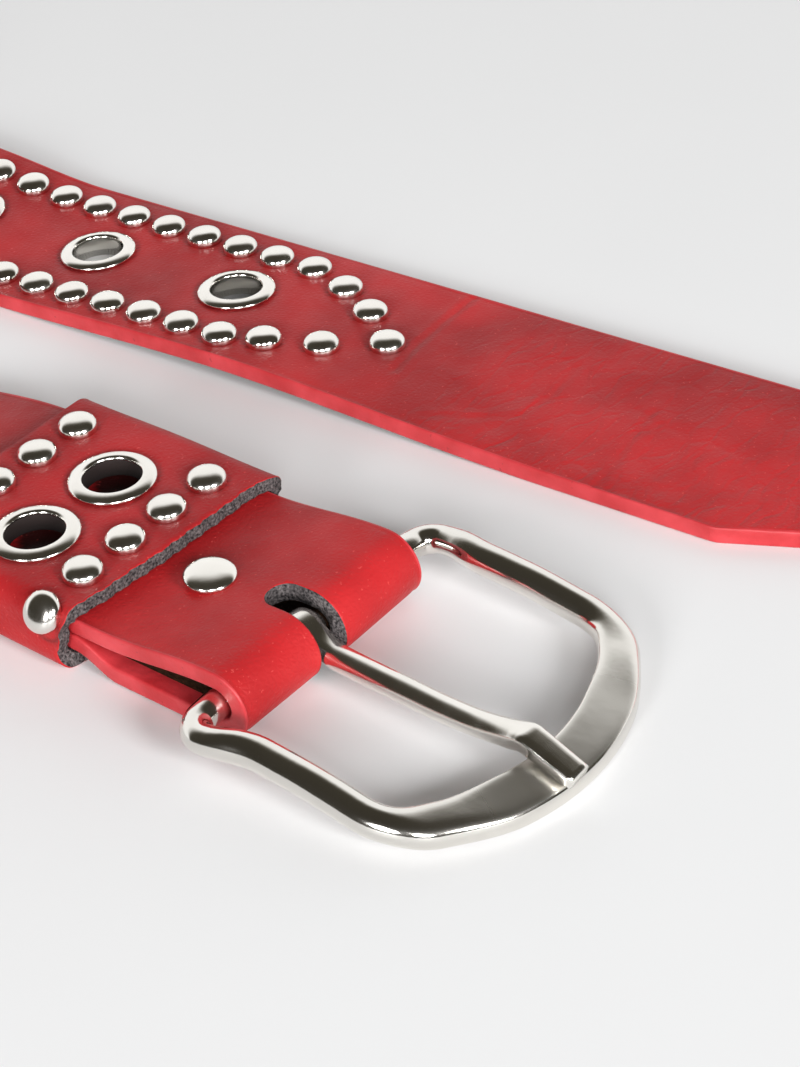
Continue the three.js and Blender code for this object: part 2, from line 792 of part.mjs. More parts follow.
for (const place of studPlaces()) {
  const seat = seatOnStrap(shoulderAt - place.back, place.across);
  addMesh(belt, place.name, studGeometry(), nickel, lifted(seat, halfLeather + fitGap));
}
for (const place of eyeletPlaces()) {
  const seat = seatOnStrap(shoulderAt - place.back, place.across);
  addMesh(belt, place.name, eyeletGeometry(strapThickness), nickel, lifted(seat, halfLeather + fitGap));
}
for (const place of keeperStudPlaces()) {
  addMesh(belt, place.name, studGeometry(), nickel, lifted(place.seat, fitGap));
}
for (const place of keeperEyeletPlaces()) {
  addMesh(belt, place.name, eyeletGeometry(keeperLeather), nickel, lifted(place.seat, fitGap));
}

// The origin is the middle of the belt's footprint on the surface that it lies on
belt.updateMatrixWorld(true);
const footprint = new THREE.Box3().setFromObject(belt, true);
const middle = footprint.getCenter(new THREE.Vector3());
const whole = new THREE.Group();
belt.position.set(-middle.x, -middle.y, -footprint.min.z);
whole.add(belt);

export default whole;
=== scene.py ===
# Red leather belt with a prong buckle, dome studs and eyelets, lying on a pale surface.
# Lengths below are millimetres in the belt's own frame: the buckle's bar lies along y at x = 0,
# the buckle leg runs towards -x, both ends point to +x and z is up. makePiece turns them to metres.
import json
import math

import bpy
import numpy as np
from mathutils import Matrix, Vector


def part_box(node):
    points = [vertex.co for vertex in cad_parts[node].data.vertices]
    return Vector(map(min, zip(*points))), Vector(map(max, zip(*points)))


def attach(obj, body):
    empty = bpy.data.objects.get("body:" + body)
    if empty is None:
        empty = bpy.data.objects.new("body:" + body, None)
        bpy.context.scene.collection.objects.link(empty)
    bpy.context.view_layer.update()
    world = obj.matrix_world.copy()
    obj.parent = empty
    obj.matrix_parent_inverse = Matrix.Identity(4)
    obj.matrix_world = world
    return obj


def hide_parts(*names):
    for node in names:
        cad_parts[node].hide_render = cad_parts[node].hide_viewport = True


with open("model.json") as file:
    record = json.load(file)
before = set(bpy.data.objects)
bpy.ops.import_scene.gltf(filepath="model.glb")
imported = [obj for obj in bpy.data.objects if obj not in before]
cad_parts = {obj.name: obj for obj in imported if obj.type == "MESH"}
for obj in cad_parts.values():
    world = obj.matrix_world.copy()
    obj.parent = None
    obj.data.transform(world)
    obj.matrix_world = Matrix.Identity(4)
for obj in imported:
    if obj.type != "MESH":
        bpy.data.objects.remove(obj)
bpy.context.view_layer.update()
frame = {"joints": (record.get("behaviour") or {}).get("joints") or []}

hinge = next(j for j in frame["joints"] if j["name"] == "frame_hinge")
hingeInBelt = (0.0, 1.3, 5.6)  # the hinge's place in the belt's own frame
home = np.array(hinge["pos_m"]) * 1000 - hingeInBelt


# smooth(t) = u^2 (3 - 2u), u = t held between 0 and 1
def smooth(t):
    u = np.clip(t, 0, 1)
    return u * u * (3 - 2 * u)


# value = low + (high - low) smooth(share) between neighbouring rows of (key, value)
def readTable(rows, at):
    keys, values = np.array(rows, float).T
    index = np.clip(np.searchsorted(keys, at) - 1, 0, len(keys) - 2)
    share = smooth((at - keys[index]) / (keys[index + 1] - keys[index]))
    return values[index] + (values[index + 1] - values[index]) * share


# cubic through rows of (key, value): slopes from the neighbours, h00 v0 + h10 m0 + h01 v1 + h11 m1
def curveThrough(rows, at):
    keys, values = np.array(rows, float).T
    slopes = np.gradient(values, keys)
    index = np.clip(np.searchsorted(keys, at) - 1, 0, len(keys) - 2)
    span = keys[index + 1] - keys[index]
    t = (at - keys[index]) / span
    return (values[index] * (2 * t**3 - 3 * t**2 + 1) + slopes[index] * span * (t**3 - 2 * t**2 + t)
            + values[index + 1] * (3 * t**2 - 2 * t**3) + slopes[index + 1] * span * (t**3 - t**2))


# squared(part, q) = sign(part) |part|^q, q = 1 is round and less is boxier
def squared(part, q):
    return np.sign(part) * np.abs(part) ** q


# unit(v) = v / |v|, row by row
def unit(v):
    return v / np.linalg.norm(v, axis=-1, keepdims=True)


# hump(d, w) = exp(-(d / w)^2)
def hump(d, w):
    return np.exp(-((d / w) ** 2))


# even steps through marks, none longer than the step given for its stretch
def stepsThrough(marks, steps):
    parts = [np.linspace(a, b, max(2, int(np.ceil((b - a) / step)) + 1))[:-1]
             for a, b, step in zip(marks[:-1], marks[1:], steps)]
    return np.concatenate(parts + [[marks[-1]]])


# Faces of a grid of rows x columns, counted row by row: the last column joins the first, and so does
# the last row where wrapRows is set
def gridQuads(rows, columns, wrapRows=False):
    r = np.arange(rows if wrapRows else rows - 1)[:, None]
    c = np.arange(columns)[None, :]
    r2, c2 = (r + 1) % rows, (c + 1) % columns
    corners = [r * columns + c, r * columns + c2, r2 * columns + c2, r2 * columns + c]
    return np.stack(np.broadcast_arrays(*corners), -1).reshape(-1, 4)


# A closed mesh from points (n, 3) in mm, quads (m, 4) and triangles (k, 3); it is turned outwards where
# sum a . (b x c) / 6 over its triangles, its volume, is negative
def makePiece(name, points, quads, triangles=(), materials=(), quadSlots=None, triangleSlot=0, uv=None,
              values=None):
    points = np.asarray(points, float)
    triangles = np.asarray(triangles, int).reshape(-1, 3)
    fan = np.concatenate([quads[:, [0, 1, 2]], quads[:, [0, 2, 3]], triangles])
    a, b, c = (points[fan[:, k]] for k in range(3))
    inside = np.einsum("ij,ij->i", a, np.cross(b, c)).sum() < 0
    loops = np.concatenate([quads.ravel(), triangles.ravel()])
    sizes = np.concatenate([np.full(len(quads), 4), np.full(len(triangles), 3)])
    starts = np.concatenate([[0], np.cumsum(sizes)[:-1]])
    mesh = bpy.data.meshes.new(name)
    mesh.vertices.add(len(points))
    mesh.vertices.foreach_set("co", ((points + home) / 1000).astype(np.float32).ravel())
    mesh.loops.add(len(loops))
    mesh.loops.foreach_set("vertex_index", loops.astype(np.int32))
    mesh.polygons.add(len(sizes))
    mesh.polygons.foreach_set("loop_start", starts.astype(np.int32))
    slots = np.zeros(len(sizes), np.int32)
    if quadSlots is not None:
        slots[:len(quads)] = quadSlots
    slots[len(quads):] = triangleSlot
    mesh.polygons.foreach_set("material_index", slots)
    mesh.polygons.foreach_set("use_smooth", np.ones(len(sizes), bool))
    mesh.update(calc_edges=True)
    if uv is not None:
        layer = mesh.uv_layers.new(name="along")
        flat = np.zeros((len(loops), 2), np.float32)
        flat[:quads.size] = uv.reshape(-1, 2)
        flat[quads.size:] = uv.reshape(-1, 2).mean(0)
        layer.data.foreach_set("uv", flat.ravel())
    for key, column in (values or {}).items():
        attribute = mesh.attributes.new(key, "FLOAT", "POINT")
        attribute.data.foreach_set("value", np.asarray(column, np.float32).ravel())
    if inside:
        mesh.flip_normals()
    for material in materials:
        mesh.materials.append(material)
    piece = bpy.data.objects.new(name, mesh)
    bpy.context.scene.collection.objects.link(piece)
    return piece


# Corner coordinates (rows of the grid, columns of the grid) for the quads of gridQuads, not wrapped back to 0
def gridUv(u, v, wrapRows=False):
    rows, columns = (len(u) if wrapRows else len(u) - 1), len(v)
    u = np.append(u, 2 * u[-1] - u[-2])
    v = np.append(v, 2 * v[-1] - v[-2])
    r, c = np.meshgrid(np.arange(rows), np.arange(columns), indexing="ij")
    corners = [(u[r], v[c]), (u[r], v[c + 1]), (u[r + 1], v[c + 1]), (u[r + 1], v[c])]
    return np.stack([np.stack(pair, -1) for pair in corners], 2).reshape(-1, 4, 2)


# Triangles from a grid's first or last row of points to a middle point each, so that both ends are closed
def endCaps(rows, columns, firstMiddle, lastMiddle):
    k = np.arange(columns)
    after = (k + 1) % columns
    last = (rows - 1) * columns
    caps = []
    if firstMiddle is not None:
        caps.append(np.stack([np.full(columns, firstMiddle), after, k], 1))
    if lastMiddle is not None:
        caps.append(np.stack([np.full(columns, lastMiddle), last + k, last + after], 1))
    return np.concatenate(caps)


# A turned shape: profile rows (radius, height) about z, point = (r cos a, r sin a, z), placed by seat
def turnedPiece(name, profile, sides, seat, material, closed=False, boreFrom=None, bore=None):
    r, z = np.array(profile, float).T
    poles = [] if closed else [k for k in (0, len(r) - 1) if r[k] == 0]
    keep = np.array([k for k in range(len(r)) if k not in poles])
    turn = 2 * np.pi * np.arange(sides) / sides
    rings = np.stack([r[keep, None] * np.cos(turn), r[keep, None] * np.sin(turn),
                      np.broadcast_to(z[keep, None], (len(keep), sides))], -1).reshape(-1, 3)
    quads = gridQuads(len(keep), sides, wrapRows=closed)
    places = {k: len(rings) + n for n, k in enumerate(poles)}
    caps = endCaps(len(keep), sides, places.get(0), places.get(len(r) - 1)) if poles else ()
    points = np.concatenate([rings, [(0, 0, z[k]) for k in poles]]) if poles else rings
    origin, axes = seat
    if bore is None:
        return makePiece(name, origin + points @ axes, quads, caps, [material])
    inside = (r[keep] < boreFrom) & (np.roll(r[keep], -1) < boreFrom)
    return makePiece(name, origin + points @ axes, quads, caps, [material, bore],
                     np.repeat(inside.astype(int), sides))


# Cuts the cutters out of a piece, piece minus cutter, and keeps the result as its mesh
def cutOut(piece, cutters):
    for cutter in cutters:
        modifier = piece.modifiers.new("cut", "BOOLEAN")
        modifier.object, modifier.operation, modifier.solver = cutter, "DIFFERENCE", "MANIFOLD"
        modifier.material_mode = "TRANSFER"
        whole = piece.evaluated_get(bpy.context.evaluated_depsgraph_get())
        mesh = bpy.data.meshes.new_from_object(whole)
        piece.modifiers.clear()
        piece.data = mesh
        bpy.data.objects.remove(cutter)


# Puts a piece on its body and hides the plain nodes that it stands for. The slot argument is not used.
def finishPiece(piece, body, slot, *nodes):
    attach(piece, body)
    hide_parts(*nodes)


# A material with one colour and finish, its node tree and its shader
def newMaterial(name, color, roughness, metallic=0.0):
    material = bpy.data.materials.new(name)
    material.use_nodes = True
    shader = material.node_tree.nodes["Principled BSDF"]
    shader.inputs["Base Color"].default_value = (*color, 1)
    shader.inputs["Roughness"].default_value = roughness
    shader.inputs["Metallic"].default_value = metallic
    return material, material.node_tree, shader


# A node of a given kind, each setting put in the socket or the field of its name
def addNode(tree, kind, **settings):
    node = tree.nodes.new(kind)
    for key, value in settings.items():
        if key in node.inputs:
            node.inputs[key].default_value = value
        else:
            setattr(node, key, value)
    return node


# Coordinates times stretch, where it is set
def stretched(tree, link, stretch):
    if not stretch:
        return link
    mapping = addNode(tree, "ShaderNodeMapping", Scale=stretch)
    tree.links.new(link, mapping.inputs["Vector"])
    return mapping.outputs["Vector"]


# Noise of a given size in mm on object coordinates
def noiseOf(tree, sizeMm, detail=3.0, distortion=0.0, stretch=None):
    coordinate = addNode(tree, "ShaderNodeTexCoord")
    noise = addNode(tree, "ShaderNodeTexNoise", Scale=1000 / sizeMm, Detail=detail, Distortion=distortion)
    tree.links.new(stretched(tree, coordinate.outputs["Object"], stretch), noise.inputs["Vector"])
    return noise.outputs["Fac"]


# Distance to the edges of cells of a given size in mm, their places shifted by noise where warp is set
def cellsOf(tree, sizeMm, stretch=None, warp=0.0):
    coordinate = addNode(tree, "ShaderNodeTexCoord")
    cells = addNode(tree, "ShaderNodeTexVoronoi", Scale=1000 / sizeMm, feature="DISTANCE_TO_EDGE")
    link = coordinate.outputs["Object"]
    if warp:
        wobble = addNode(tree, "ShaderNodeTexNoise", Scale=1000 / (sizeMm * 2.5), Detail=2.0)
        shift = addNode(tree, "ShaderNodeVectorMath", operation="SCALE", Scale=warp / 1000)
        add = addNode(tree, "ShaderNodeVectorMath", operation="ADD")
        tree.links.new(link, wobble.inputs["Vector"])
        tree.links.new(wobble.outputs["Color"], shift.inputs[0])
        tree.links.new(link, add.inputs[0])
        tree.links.new(shift.outputs[0], add.inputs[1])
        link = add.outputs[0]
    tree.links.new(stretched(tree, link, stretch), cells.inputs["Vector"])
    return cells.outputs["Distance"]


# Out = toLow + (toHigh - toLow) (value - low) / (high - low), held inside
def spread(tree, value, low, high, toLow, toHigh):
    node = addNode(tree, "ShaderNodeMapRange", clamp=True)
    for key, number in (("From Min", low), ("From Max", high), ("To Min", toLow), ("To Max", toHigh)):
        node.inputs[key].default_value = number
    tree.links.new(value, node.inputs["Value"])
    return node.outputs["Result"]


# Out = first + (second - first) share, where either may be a colour or another node's output
def mixColor(tree, share, first, second):
    node = addNode(tree, "ShaderNodeMix", data_type="RGBA")
    tree.links.new(share, node.inputs[0])
    for socket, value in ((node.inputs[6], first), (node.inputs[7], second)):
        if isinstance(value, bpy.types.NodeSocket):
            tree.links.new(value, socket)
        else:
            socket.default_value = (*value, 1)
    return node.outputs[2]


# Adds one bump after another: height in mm for a value of 0 to 1
def bumpChain(tree, shader, bumps):
    normal = None
    for value, heightMm in bumps:
        node = addNode(tree, "ShaderNodeBump", Strength=1.0, Distance=heightMm / 1000)
        tree.links.new(value, node.inputs["Height"])
        if normal is not None:
            tree.links.new(normal, node.inputs["Normal"])
        normal = node.outputs["Normal"]
    tree.links.new(normal, shader.inputs["Normal"])


leatherLook = {
    "deep": (0.33, 0.011, 0.013),
    "bright": (0.50, 0.018, 0.021),
    "fleck": (0.70, 0.10, 0.09),
    # dark: the colour of the painted shade at stud and eyelet rims and on the strap under the keeper's eyelet
    # holes
    "dark": (0.035, 0.005, 0.005),
    "roughness": (0.40, 0.56),
    "gloss": 0.22,
    "grainMm": 0.9,
    "grainHeightMm": 0.035,
    "wrinkleMm": 3.6,
    "wrinkleHeightMm": 0.07,
    "foldMm": 7.5,
    "foldHeightMm": 0.42,
}


# Semi-gloss leather: colour drifts over 22 mm patches, with light flecks, pores of a fine cell pattern,
# folds and a net of wrinkles where the attribute wrinkled is high, and painted shade where the shade
# attribute is high
def redLeather(name, look):
    material, tree, shader = newMaterial(name, look["bright"], 0.45)
    broad = spread(tree, noiseOf(tree, 22, 2), 0.35, 0.65, 0, 1)
    color = mixColor(tree, broad, look["deep"], look["bright"])
    # painted shade: the colour goes to dark where the shade attribute is high
    paintedShade = addNode(tree, "ShaderNodeAttribute", attribute_name="paintedShade").outputs["Fac"]
    color = mixColor(tree, paintedShade, color, look["dark"])
    flecks = spread(tree, noiseOf(tree, 0.55, 1), 0.71, 0.76, 0, 0.5)
    color = mixColor(tree, flecks, color, look["fleck"])
    tree.links.new(color, shader.inputs["Base Color"])
    fine = noiseOf(tree, 5, 4)
    tree.links.new(spread(tree, fine, 0.3, 0.7, *look["roughness"]), shader.inputs["Roughness"])
    shader.inputs["Specular IOR Level"].default_value = look["gloss"]
    pores = spread(tree, cellsOf(tree, look["grainMm"]), 0.0, 0.35, 0, 1)
    lines = spread(tree, cellsOf(tree, look["wrinkleMm"], stretch=(1.0, 0.4, 1.0), warp=6.0), 0.0, 0.14, 0, 1)
    wrinkled = addNode(tree, "ShaderNodeAttribute", attribute_name="wrinkled").outputs["Fac"]
    folds = noiseOf(tree, look["foldMm"], 3, 1.4, stretch=(1.0, 0.6, 1.0))
    held = []
    for value in (lines, folds):
        product = addNode(tree, "ShaderNodeMath", operation="MULTIPLY")
        tree.links.new(value, product.inputs[0])
        tree.links.new(wrinkled, product.inputs[1])
        held.append(product.outputs[0])
    bumpChain(tree, shader, [(noiseOf(tree, 9, 3), 0.12), (held[1], look["foldHeightMm"]),
                             (held[0], look["wrinkleHeightMm"]), (pores, look["grainHeightMm"])])
    return material


# Painted edge: brighter than the face, uneven over 6 mm, with a few dark nicks
def paintedEdge():
    material, tree, shader = newMaterial("painted_edge", (0.50, 0.03, 0.036), 0.45)
    color = mixColor(tree, spread(tree, noiseOf(tree, 6, 4), 0.35, 0.7, 0, 1), (0.43, 0.019, 0.024),
                     (0.58, 0.045, 0.055))
    nicks = spread(tree, noiseOf(tree, 1.3, 2), 0.70, 0.78, 0, 0.7)
    color = mixColor(tree, nicks, color, (0.20, 0.01, 0.012))
    tree.links.new(color, shader.inputs["Base Color"])
    bumpChain(tree, shader, [(noiseOf(tree, 1.6, 3), 0.12)])
    return material


# Suede: brown nap in fine fibres
def suede():
    material, tree, shader = newMaterial("brown_suede", (0.04, 0.02, 0.012), 0.95)
    color = mixColor(tree, noiseOf(tree, 0.8, 5), (0.014, 0.007, 0.004), (0.07, 0.034, 0.018))
    tree.links.new(color, shader.inputs["Base Color"])
    shader.inputs["Specular IOR Level"].default_value = 0.1
    bumpChain(tree, shader, [(noiseOf(tree, 0.5, 5), 0.25)])
    return material


# Raw cut edge: dark grey fibre with lighter strands
def rawEdge():
    material, tree, shader = newMaterial("raw_edge", (0.06, 0.052, 0.053), 0.95)
    color = mixColor(tree, spread(tree, noiseOf(tree, 0.4, 6), 0.35, 0.68, 0, 1), (0.020, 0.018, 0.019),
                     (0.17, 0.15, 0.15))
    shader.inputs["Specular IOR Level"].default_value = 0.1
    tree.links.new(color, shader.inputs["Base Color"])
    bumpChain(tree, shader, [(noiseOf(tree, 0.45, 5), 0.55)])
    return material


# Polished nickel: slightly warm, with faint smears in the gloss
def polishedNickel():
    material, tree, shader = newMaterial("polished_nickel", (0.80, 0.77, 0.72), 0.1, 1.0)
    tree.links.new(spread(tree, noiseOf(tree, 4, 4), 0.3, 0.7, 0.10, 0.20), shader.inputs["Roughness"])
    color = mixColor(tree, noiseOf(tree, 7, 3), (0.76, 0.73, 0.68), (0.86, 0.84, 0.80))
    tree.links.new(color, shader.inputs["Base Color"])
    bumpChain(tree, shader, [(noiseOf(tree, 2.2, 2), 0.012)])
    return material


# Satin nickel: the gloss of the rods, and a brushed face where the attribute satin is 1
def satinNickel():
    material, tree, shader = newMaterial("satin_nickel", (0.76, 0.74, 0.70), 0.2, 1.0)
    satin = addNode(tree, "ShaderNodeAttribute", attribute_name="satin").outputs["Fac"]
    tree.links.new(spread(tree, satin, 0, 1, 0.12, 0.30), shader.inputs["Roughness"])
    color = mixColor(tree, noiseOf(tree, 8, 4), (0.70, 0.675, 0.63), (0.82, 0.80, 0.76))
    tree.links.new(color, shader.inputs["Base Color"])
    bumpChain(tree, shader, [(noiseOf(tree, 3, 3), 0.03)])
    return material


strapRed = redLeather("red_leather", leatherLook)
keeperShades = {"deep": (0.31, 0.010, 0.012), "bright": (0.47, 0.016, 0.019)}
keeperRed = redLeather("keeper_leather", {**leatherLook, **keeperShades})
edgeRed = paintedEdge()
brownSuede = suede()
greyRaw = rawEdge()
# painted shade: a near-black brown for the inside of the keeper eyelets' barrels, where only shade falls
paintedShadeBore, _, _ = newMaterial("painted_shade_bore", (0.012, 0.005, 0.004), 0.8)
nickel = polishedNickel()
frameNickel = satinNickel()
print("materials made")


strap = {
    "halfWidth": 19.25,
    "halfLeather": 1.5,
    "cornerRadius": 0.45,
    "legRun": 315.0,
    "neckSpacing": 52.0,
    "splayDeg": 3.35,
    "flareRadius": 120.0,
    "loopRadius": 50.0,
    "tipRun": 349.0,
    "tipLength": 42.0,
    "tipEndHalf": 1.5,
    "restDrop": 45.0,
    "buckleTwist": (108.0, 130.0),  # start behind the bar, length
    "studTwist": (246.0, 100.0),  # start back from the shoulder, length
    "tilt": [(30, 0), (92, -3), (150, 0), (182, 4), (246, 0)],  # back from the shoulder, degrees
    "foldOpening": 22.0,
    "tailLength": 59.0,
    "tailClimb": (19.5, 27.2),  # behind the bar, from the floor's level to the keeper's
    "slot": {"length": 5.6, "width": 5.6, "shift": -0.8},
    "foldSteps": 24,
    "dentMm": 0.22,
    "creases": [  # points (back, across) of faint bend marks, width, depth
        {"points": [(67.3, 19), (67.2, 9.6), (66.6, 0), (65.4, -8)], "width": 0.9, "depth": 0.16},
        {"points": [(40.5, 8.5), (39.6, -0.4), (40.8, -8.2), (46.1, -11.8), (54, -16)], "width": 0.8,
         "depth": 0.10},
        {"points": [(23.2, 3), (22.4, -4), (21.1, -11.9), (20.7, -19)], "width": 0.8, "depth": 0.10},
    ],
}
stackHeights = {"bar": 5.6, "foldRadius": 4.05, "tail": 4.2, "top": 7.5, "keeperTop": 11.7}
keeperReach = {"back": 62.4, "front": 22.6}

studRows = {"pitch": 8.2, "half": 13.3, "shift": -0.8, "count": 14, "start": 96.5}
# beyond the row's end stud, across
closingStuds = {"far_1": (8.8, 9.5), "far_2": (17.3, 4.9), "apex": (25.6, -1.9), "near_2": (16.6, -8),
                "near_1": (7.3, -11.5)}
strapEyelets = {"pitch": 31.5, "start": 104.0, "count": 4}
keeperStuds = {"middle": 43.2, "half": 13.4, "pitch": 8.8, "shift": -4.3, "count": 5}
keeperEyelets = {"middle": 42.4, "half": 8.15, "shift": -2.0}
rimRadius = {"stud": 3.0, "eyelet": 6.85}
holes = {"eyelet": 4.95, "eyeletSides": 48, "rivet": 1.7, "rivetSides": 24}
rivetShape = {"back": 15.6, "shift": -2.2, "radius": 4.0, "height": 1.55, "foot": 0.3, "fullness": 0.74,
              "tiltDeg": 2.5, "sides": 40, "postRadius": 1.4, "capRadius": 3.4, "capHeight": 0.8}

halfSplay = math.radians(strap["splayDeg"] / 2)
beta = math.acos((strap["neckSpacing"] / 2 + strap["flareRadius"] * math.cos(halfSplay))
                 / (strap["loopRadius"] + strap["flareRadius"]))
flareTurn = beta + halfSplay
loopTurn = math.pi + 2 * beta
# length and turn of each stretch of the plan, from the bar on: leg, flare, loop, flare, leg
planRuns = np.array([
    (strap["legRun"], 0),
    (strap["flareRadius"] * flareTurn, flareTurn),
    (strap["loopRadius"] * loopTurn, -loopTurn),
    (strap["flareRadius"] * flareTurn, flareTurn),
    (strap["tipRun"] + strap["tipLength"], 0),
])


# chord = along sinc(half turn), point = start + chord (cos, sin)(heading + half turn)
def advance(start, heading, length, turn, along):
    half = along * turn / length / 2
    chord = along * np.sinc(half / np.pi)
    step = np.stack([chord * np.cos(heading + half), chord * np.sin(heading + half)], -1)
    return start + step, heading + 2 * half


runStarts, runPoints, runHeadings = [0.0], [np.zeros(2)], [math.pi]
for length, turn in planRuns[:-1]:
    point, heading = advance(runPoints[-1], runHeadings[-1], length, turn, length)
    runStarts.append(runStarts[-1] + length)
    runPoints.append(point)
    runHeadings.append(heading)
runStarts, runPoints, runHeadings = np.array(runStarts), np.array(runPoints), np.array(runHeadings)
planLength = runStarts[-1] + planRuns[-1, 0]
shoulderAt = planLength - strap["tipLength"]


# Plan point and heading at s, by advance along the stretch that s lies on
def planAt(s):
    index = np.clip(np.searchsorted(runStarts, s, side="right") - 1, 0, len(runStarts) - 1)
    length, turn = planRuns[index].T
    return advance(runPoints[index], runHeadings[index], length, turn, s - runStarts[index])


# twist = -90 min(standing on the buckle leg, standing behind the studs) + tilt, in degrees
def twistAt(s):
    back = shoulderAt - s
    buckleStart, buckleLength = strap["buckleTwist"]
    studStart, studLength = strap["studTwist"]
    standing = np.minimum(smooth((s - buckleStart) / buckleLength), smooth((back - studStart) / studLength))
    return np.radians(-90 * standing + readTable(strap["tilt"], back))


# lift = (at the keeper + (at the bar - at the keeper) smooth(1 - s/fold)) (1 - smooth((s - keeper)/drop))
def liftAt(s):
    atKeeper = stackHeights["top"] - strap["halfLeather"]
    atBar = stackHeights["bar"] + stackHeights["foldRadius"] - strap["halfLeather"]
    fold = smooth(1 - s / strap["foldOpening"])
    drop = smooth((s - keeperReach["back"]) / strap["restDrop"])
    return (atKeeper + (atBar - atKeeper) * fold) * (1 - drop)


# z = halfWidth |sin twist| + halfLeather cos twist + lift, over the plan point
def strapMiddle(s):
    point, _ = planAt(s)
    twist = twistAt(s)
    z = strap["halfWidth"] * np.abs(np.sin(twist)) + strap["halfLeather"] * np.cos(twist) + liftAt(s)
    return np.column_stack([point, z])


# across = left cos twist + up sin twist, face = (middle' x across) / its length
def strapFrame(s):
    s = np.atleast_1d(np.asarray(s, float))
    _, heading = planAt(s)
    twist = twistAt(s)
    level = np.cos(twist)
    across = np.column_stack([-np.sin(heading) * level, np.cos(heading) * level, np.sin(twist)])
    along = strapMiddle(s + 0.5) - strapMiddle(s - 0.5)
    return strapMiddle(s), across, unit(np.cross(along, across))


# Place and axes (along, across, face) on the strap's upper face, back from the shoulder
def seatOnStrap(back, offset):
    middle, across, face = (v[0] for v in strapFrame(shoulderAt - back))
    along = np.cross(across, face)
    return middle + across * offset + face * strap["halfLeather"], np.array([along, across, face])


# Back from the shoulder = start + i pitch and across = +-half + shift, then the studs that close the rows
def studPlaces():
    places = {}
    rowEnd = studRows["start"] + (studRows["count"] - 1) * studRows["pitch"]
    for row, side in (("far", 1), ("near", -1)):
        for i in range(studRows["count"]):
            across = side * studRows["half"] + studRows["shift"]
            places[f"strap_stud_{row}_{i + 1}"] = (studRows["start"] + i * studRows["pitch"], across)
    for key, (beyond, across) in closingStuds.items():
        places[f"strap_stud_front_{key}"] = (studRows["start"] - beyond, across)
        places[f"strap_stud_back_{key}"] = (rowEnd + beyond, across)
    return places


# Back from the shoulder = start + i pitch, on the middle line
def eyeletPlaces():
    return {f"strap_eyelet_{i + 1}": (strapEyelets["start"] + i * strapEyelets["pitch"], 0.0)
            for i in range(strapEyelets["count"])}


# Closed outline of a rounded bar: core (-1 to 1) times (half - radius) plus an offset, and the height.
# Returns core, offset, height, running length and which part each point is on (0 face, 1 edge, 2 back)
def roundedProfile(half, halfThick, radius, faceSteps, sideSteps, backSteps, cornerSteps=3):
    turn = np.linspace(0, np.pi / 2, cornerSteps + 1)
    side = np.linspace(1, -1, sideSteps + 1)[1:-1]
    flat = half - radius
    rise = halfThick - radius
    core = [np.linspace(-1, 1, faceSteps + 1)]
    offset = [np.zeros(faceSteps + 1)]
    height = [np.full(faceSteps + 1, halfThick)]
    part = [np.zeros(faceSteps + 1)]

    def add(c, o, h, p):
        core.append(np.full(len(o), c))
        offset.append(o)
        height.append(h)
        part.append(np.full(len(o), p))

    add(1.0, radius * np.sin(turn[1:]), rise + radius * np.cos(turn[1:]), 1)
    add(1.0, np.full(len(side), radius), rise * side, 1)
    add(1.0, radius * np.cos(turn), -rise - radius * np.sin(turn), 1)
    core.append(np.linspace(1, -1, backSteps + 1)[1:])
    offset.append(np.zeros(backSteps))
    height.append(np.full(backSteps, -halfThick))
    part.append(np.full(backSteps, 2))
    add(-1.0, -radius * np.sin(turn[1:]), -rise - radius * np.cos(turn[1:]), 1)
    add(-1.0, np.full(len(side), -radius), -rise * side, 1)
    add(-1.0, -radius * np.cos(turn[:-1]), rise + radius * np.sin(turn[:-1]), 1)
    core, offset, height, part = (np.concatenate(v) for v in (core, offset, height, part))
    place = core * flat + offset
    step = np.hypot(np.diff(place, append=place[0]), np.diff(height, append=height[0]))
    return core, offset, height, np.concatenate([[0], np.cumsum(step)[:-1]]), part


# Distance from points (n, 2) to a line through the given points
def lineDistance(points, line):
    line = np.array(line, float)
    a, b = line[:-1], line[1:]
    ab = b - a
    t = np.clip(((points[:, None] - a) * ab).sum(-1) / (ab * ab).sum(-1), 0, 1)
    return np.linalg.norm(points[:, None] - (a + ab * t[..., None]), axis=-1).min(1)


# Dents beside the rims of studs and eyelets, depth hump(distance past the rim), and a painted shade line at
# each rim
def rimMarks(spots, studs, eyelets, depth):
    dents, paintedShade = np.zeros(len(spots)), np.zeros(len(spots))
    for radius, places in ((rimRadius["stud"], studs), (rimRadius["eyelet"], eyelets)):
        centres = np.array(list(places.values()))
        distance = np.linalg.norm(spots[:, None] - centres, axis=-1).min(1)
        dents += depth * hump(np.maximum(distance - radius, 0), 1.1)
        paintedShade += 0.6 * hump(distance - radius, 0.35)
    return dents, paintedShade


# Material slot of each quad between neighbouring outline points: edge beside a face or back, else its own
def partSlots(part, rows):
    after = np.roll(part, -1)
    higher = np.maximum(part, after)
    return np.tile(np.where(higher == 2, np.minimum(part, after), higher), rows)


